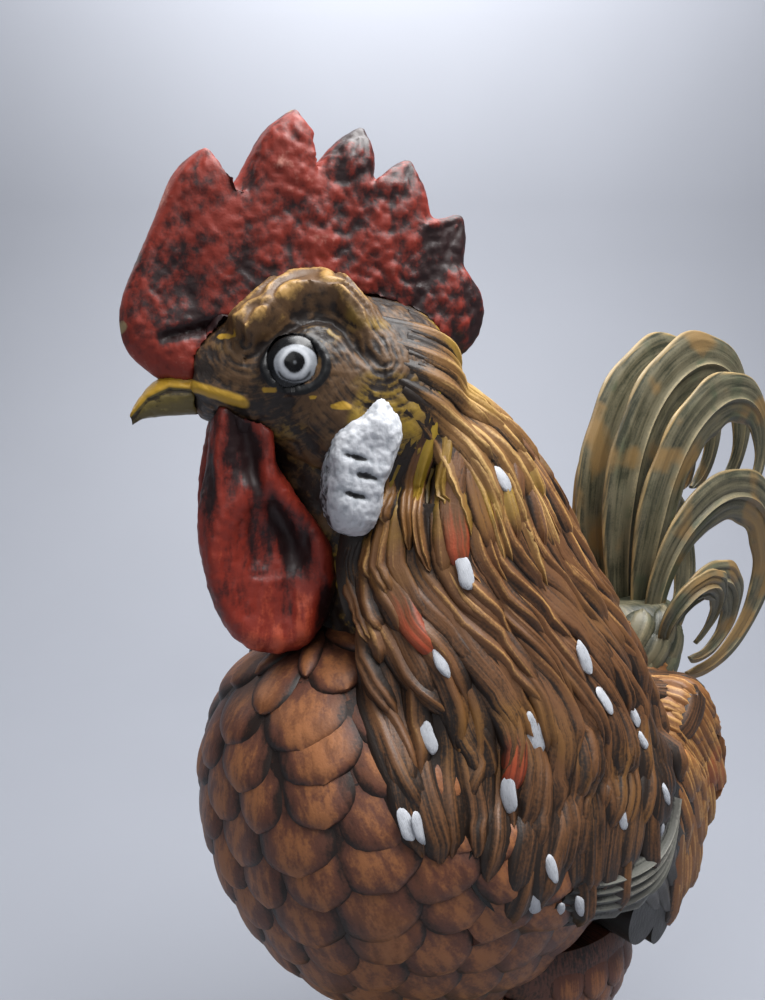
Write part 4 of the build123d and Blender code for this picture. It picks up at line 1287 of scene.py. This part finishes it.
def tail_root(material):
    """Block that holds the plumes, with rows of short leaves."""
    points, quads, normals = even_copy(["tail_root"], 1.2, 2)
    ring = grain(points * np.array([1.0, 1.0, 0.5]), 6.0, 71)
    heap = pushed(points, quads, normals, 0.5 * ring, np.clip(0.45 + 0.3 * ring, 0, 1.2), strand=points)
    tree = skin(points, quads)
    dice = np.random.default_rng(41)
    low, high = points.min(axis=0), points.max(axis=0)
    centre = (low + high) / 2
    part = np.linspace(0, 1, 16)
    for row, (foot, top, leaves) in enumerate(TAIL_ROOT_ROWS):
        for k in range(leaves):
            turn = 2 * math.pi * (k + 0.5 * (row % 2) + dice.uniform(-0.1, 0.1)) / leaves
            line = []
            for t in part:
                bend = turn + 0.5 * t * math.copysign(1, math.cos(turn))
                outward = np.array([math.cos(bend), math.sin(bend), 0])
                height = low[2] + (high[2] - low[2]) * (foot + (top - foot) * t)
                line.append(cast(tree, np.array([centre[0], centre[1], height]) + outward * 120, -outward))
            if None in line:
                continue
            line = np.array([spot[0] for spot in line])
            rise = 2.6 * arch(part, 0.2, 0.1, 0.7, 0.5, 0.88)
            feather(
                heap, tree, line, tongue(part, 15), rise, dice.uniform(0, 0.4), 0, 13, 2.1, ridges=3,
                groove=0.28)
    heap.piece("tail_root_cast", material, "tail_paint", "tail_root")


class ROOSTER_OT_tail(bpy.types.Operator):
    """Arched tail plumes with a rib and long grooves"""
    bl_idname = "rooster.tail"
    bl_label = "Tail"

    def execute(self, context):
        # Cast resin in grey-green with ochre on the edges: ribbed plumes, patchy green and brown.
        material = paint_material(
            "painted_resin_tail", paints().tail_wash, paints().tail_ground, paints().tail_brush,
            linear("#46513C"), streak=(24.0, 1.2), patch=14.0, gloss=0.5, levels=(0.2, 0.7, 0.78, 1.2),
            mark=paints().tail_rim, mark_from=0.62, band=linear("#866C44"))
        for name in PLUMES:
            plume_pair(name, material)
        tail_root(material)
        return {"FINISHED"}


class ROOSTER_OT_legs(bpy.types.Operator):
    """Feathered thighs and scaly shanks"""
    bl_idname = "rooster.legs"
    bl_label = "Legs"

    def execute(self, context):
        # The breast brown over cast scales: soft, darker toward the shank.
        thigh_paint = paint_material(
            "painted_resin_thigh_feathers", paints().breast_wash, paints().breast_ground,
            paints().breast_brush, streak=(9.0, 0.7), patch=30.0, gloss=0.48)
        # Ochre over cast plates, wash left in the joints: a horny, ringed look.
        shank_paint = paint_material(
            "painted_resin_shank", linear("#3B2E18"), paints().leg_ground, linear("#CBB173"),
            streak=(5.0, 3.0), patch=14.0, gloss=0.45)
        share = np.linspace(0, 1, 10)
        for label, side in SIDES:
            dice = np.random.default_rng(29)
            points, faces = solid(label + "_thigh")
            tree = skin(points, faces)
            low, high = points.min(axis=0), points.max(axis=0)
            middle = (low + high) / 2
            ankle = np.array([side * ANKLE[0], ANKLE[1]])
            heap = core(label + "_thigh", 0.45)
            row = 0
            for height in np.arange(low[2] + 2, high[2] + 6, 9.0):
                count = 10 + row
                for k in range(count):
                    turn = 2 * math.pi * (k + 0.5 * (row % 2)) / count
                    outward = np.array([math.cos(turn), math.sin(turn), 0])
                    line = []
                    for z in height + 13 - share * 20:
                        foot = np.interp(z, (low[2], low[2] + 30), (0, 1))
                        centre = np.append(ankle + (middle[:2] - ankle) * foot, z)
                        found = cast(tree, centre + outward * 60, -outward)
                        line.append(None if found is None else found[0])
                    line = [p for p in line if p is not None]
                    if len(line) < 10:
                        continue
                    lift = -0.5 + 2.8 * ease(share, 0.1, 0.8) * (1 - 0.3 * ease(share, 0.85, 1))
                    feather(heap, tree, np.array(line), rounded(share, 15), lift, dice.uniform(), blunt=3.0)
                row += 1
            heap.piece(label + "_thigh_feathers", thigh_paint, "breast_paint", label + "_thigh")
            points, quads, normals = even_copy([label + "_shank"], 1.0, 2)
            out = np.hypot(points[:, 0] - ankle[0], points[:, 1] - ankle[1])
            upright = ease(points[:, 2], 40, 48)
            wave = np.where(upright > 0.5, points[:, 2] / 5.2, out / 5.0)
            plate = np.abs(np.sin(math.pi * wave)) ** 0.6
            facing = np.clip(normals[:, 2] + upright + 0.4, 0, 1)
            push = 0.7 * (plate - 0.5) * facing + 0.2 * grain(points, 2.0, 51)
            heap = pushed(points, quads, normals, push, np.clip(0.32 + 0.5 * plate, 0, 1.2))
            heap.piece(label + "_shank_scales", shank_paint, "leg_paint", label + "_shank")
        return {"FINISHED"}


class ROOSTER_OT_base(bpy.types.Operator):
    """Base painted as trodden ground, with its felt and the hidden steel"""
    bl_idname = "rooster.base"
    bl_label = "Base"

    def execute(self, context):
        points, quads, normals = even_copy(["base_casting"], 2.2, 2)
        outside = ease(normals[:, 2], -0.3, 0.1) * ease(points[:, 2], 3, 8)
        earth = grain(points, 22, 61) + 0.6 * grain(points, 9, 62) + 0.4 * grain(points, 4.5, 63)
        near_leg = np.hypot(np.abs(points[:, 0]) - ANKLE[0], points[:, 1] - FOOT_MIDDLE)
        quiet = ease(near_leg, 40, 70) * 0.8 + 0.2
        push = (0.8 * earth - 0.8) * outside * quiet
        heap = pushed(points, quads, normals, push, np.clip(0.62 + 0.25 * earth, 0, 1.2))
        # Green-brown sponged over cast ground: dull earth with worn high spots.
        material = paint_material(
            "painted_resin_base", linear("#29281C"), paints().base_ground, linear("#948A5E"),
            linear("#6B5230"), streak=(6.0, 6.0), patch=30.0, gloss=0.58, grit=1.6, bump=0.6)
        heap.piece("base_ground", material, "base_paint", "base_casting")
        # Cut wool felt: a soft dull face with short fibres standing every way.
        felt = paint_material(
            "cut_wool_felt", linear("#1D2A20"), linear("#2E4433"), linear("#4A6350"), streak=(1.5, 1.5),
            patch=6.0, gloss=0.85, grit=0.5, bump=0.8)
        # Zinc-plated steel: a grey metal with a fine turned grain.
        steel, tree, shader = fresh_material("zinc_plated_steel")
        turned = noise(tree, add(tree, "ShaderNodeTexCoord").outputs["Object"], 1 / (1.5 * MM), 3.0)
        shader.inputs["Metallic"].default_value = 1.0
        tree.links.new(blend(tree, turned, linear("#8E9092"), linear("#BFC1C2")), shader.inputs["Base Color"])
        tree.links.new(roughness(tree, turned, 0.28, 0.42), shader.inputs["Roughness"])
        for name in ("base_felt", *STEEL_NODES):
            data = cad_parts[name].data
            data.materials.clear()
            data.materials.append(steel if name in STEEL_NODES else felt)
        return {"FINISHED"}


class ROOSTER_OT_dabs(bpy.types.Operator):
    """Dabs of white paint on the neck feathers"""
    bl_idname = "rooster.dabs"
    bl_label = "White dabs"

    def execute(self, context):
        tree = skin(*triangles_of(bpy.data.objects[name].data for name in DAB_GROUND))
        dice = np.random.default_rng(37)
        long = sizes().dab_length / MM
        lean = np.array([0, 0.25, -1.0])
        rises = np.radians(np.linspace(-90, 90, 11))[:, None]
        turns = np.radians(np.arange(0, 360, 15))[None, :]
        flat = np.cos(rises)
        axes = np.broadcast_arrays(flat * np.cos(turns), flat * np.sin(turns), np.sin(rises))
        globe = np.stack(axes, axis=-1).reshape(-1, 3)
        heap = Heap()
        for x, y, big in DAB_PIXELS:
            found = cast(tree, CAMERA_PLACE, picture_ray(x, y))
            if found is None:
                continue
            far = cast(tree, found[0] * (-1, 1, 1) + np.array([-60.0, 0, 0]), np.array([1.0, 0, 0]))
            for spot in [found] + ([far] if far is not None else []):
                centre, normal = spot
                size = long * big * dice.uniform(0.9, 1.1)
                down = unit(lean - normal * np.dot(lean, normal))
                aside = np.cross(normal, down)
                ringed = [snap(tree, centre + 3.0 * step)[1] for step in (down, aside, -down, -aside)]
                normal = unit(normal + sum(ringed))
                down = unit(lean - normal * np.dot(lean, normal))
                aside = np.cross(normal, down)
                ball = globe * (1 + 0.16 * grain(globe * 4 + centre, 2.6, 91))[:, None]
                wide = size * dice.uniform(0.2, 0.28)
                spots = centre + ball @ np.array([down * size / 2, aside * wide, normal])
                heap.add(spots, [ring_faces(len(rises), turns.size)], 0.3, strand=ball * size)
        # Single strokes of white acrylic: flat dabs with a brushed grain.
        material = paint_material(
            "brushed_white_paint", linear("#83868C"), linear("#B6B9BF"), paints().white, streak=(6.0, 0.6),
            patch=5.0, gloss=0.55, levels=(0.0, 0.3, 0.4, 0.7))
        heap.piece("white_dabs", material, "white_paint")
        return {"FINISHED"}


class ROOSTER_OT_stage(bpy.types.Operator):
    """Pale floor and backdrop, soft lamps and the photograph's camera"""
    bl_idname = "rooster.stage"
    bl_label = "Stage"

    def execute(self, context):
        scene = context.scene
        scene.view_settings.view_transform = "Standard"
        # Painted studio sweep: an even matt grey with faint roller mottling.
        material, tree, shader = fresh_material("painted_studio_sweep")
        mottle = noise(tree, add(tree, "ShaderNodeTexCoord").outputs["Object"], 1 / (180 * MM), 3.0)
        under, over = ([min(1, c * share) for c in paints().floor] for share in (0.97, 1.03))
        tree.links.new(blend(tree, mottle, under, over), shader.inputs["Base Color"])
        shader.inputs["Roughness"].default_value = 0.75
        profile = [(SWEEP_FRONT, 0.0), (SWEEP_BEND, 0.0)]
        for k in range(1, BEND_STEPS + 1):
            angle = math.radians(90 * k / BEND_STEPS)
            profile.append((SWEEP_BEND * (1 + math.sin(angle)), SWEEP_BEND * (1 - math.cos(angle))))
        profile.append((2 * SWEEP_BEND, SWEEP_TOP))
        ahead, wide, _ = picture_axes()
        back = np.cross((0, 0, 1), wide)
        points = []
        for side in (-SWEEP_HALF_WIDTH, SWEEP_HALF_WIDTH):
            for away, high in profile:
                points.append(back * away + wide * side + np.array([0, 0, high]))
        count = len(profile)
        faces = [(i, i + 1, i + 1 + count, i + count) for i in range(count - 1)]
        mesh = bpy.data.meshes.new("studio_sweep")
        mesh.from_pydata([tuple(p) for p in points], [], faces)
        mesh.polygons.foreach_set("use_smooth", [True] * len(faces))
        mesh.materials.append(material)
        sweep = bpy.data.objects.new("studio_sweep", mesh)
        scene.collection.objects.link(sweep)
        world = bpy.data.worlds.new("studio_air")
        world.use_nodes = True
        scene.world = world
        air = world.node_tree.nodes["Background"].inputs
        air["Color"].default_value = (*linear(AIR_COLOUR), 1)
        air["Strength"].default_value = AIR_STRENGTH
        backdrop = (
            "backdrop_softbox", back * 0.75 + (0, 0, 1.9), back * 2 * SWEEP_BEND + (0, 0, 1.3), 0.8, 59.0)
        for name, spot, target, breadth, power in (*LAMPS, backdrop):
            lamp = bpy.data.lights.new(name, "AREA")
            lamp.shape = "SQUARE"
            lamp.size = breadth
            lamp.energy = power
            holder = bpy.data.objects.new(name, lamp)
            holder.location = spot
            holder.rotation_euler = (Vector(target) - Vector(spot)).to_track_quat("-Z", "Y").to_euler()
            scene.collection.objects.link(holder)
        camera = bpy.data.cameras.new("photo_camera")
        camera.lens = sizes().camera_lens
        camera.sensor_width = 36.0
        camera.clip_start = 0.01
        holder = bpy.data.objects.new("photo_camera", camera)
        aim = Vector(ahead).to_track_quat("-Z", "Y").to_matrix().to_4x4()
        holder.matrix_world = Matrix.Translation(Vector(CAMERA_PLACE * MM)) @ aim
        scene.collection.objects.link(holder)
        scene.camera = holder
        return {"FINISHED"}


OPERATORS = (
    ROOSTER_OT_hackle, ROOSTER_OT_breast, ROOSTER_OT_head, ROOSTER_OT_comb, ROOSTER_OT_wattles,
    ROOSTER_OT_ear_lobes, ROOSTER_OT_beak, ROOSTER_OT_eyes, ROOSTER_OT_wings, ROOSTER_OT_saddle,
    ROOSTER_OT_tail, ROOSTER_OT_legs, ROOSTER_OT_base, ROOSTER_OT_dabs, ROOSTER_OT_stage,
)


class ROOSTER_PT_panel(bpy.types.Panel):
    """Steps, sizes and paints of the rooster"""
    bl_label = "Rooster"
    bl_idname = "ROOSTER_PT_panel"
    bl_space_type = "VIEW_3D"
    bl_region_type = "UI"
    bl_category = "Rooster"

    def draw(self, context):
        for operator in OPERATORS:
            self.layout.operator(operator.bl_idname)
        for group in (context.scene.rooster_sizes, context.scene.rooster_paints):
            for key in group.bl_rna.properties.keys():
                if key not in ("rna_type", "name"):
                    self.layout.prop(group, key)


CLASSES = (RoosterSizes, RoosterPaints) + OPERATORS + (ROOSTER_PT_panel,)


def register():
    for kind in CLASSES:
        bpy.utils.register_class(kind)
    bpy.types.Scene.rooster_sizes = bpy.props.PointerProperty(type=RoosterSizes)
    bpy.types.Scene.rooster_paints = bpy.props.PointerProperty(type=RoosterPaints)


def unregister():
    del bpy.types.Scene.rooster_paints
    del bpy.types.Scene.rooster_sizes
    for kind in reversed(CLASSES):
        bpy.utils.unregister_class(kind)


def main():
    register()
    for operator in OPERATORS:
        getattr(bpy.ops.rooster, operator.bl_idname.split(".")[1])()


if __name__ == "__main__":
    main()
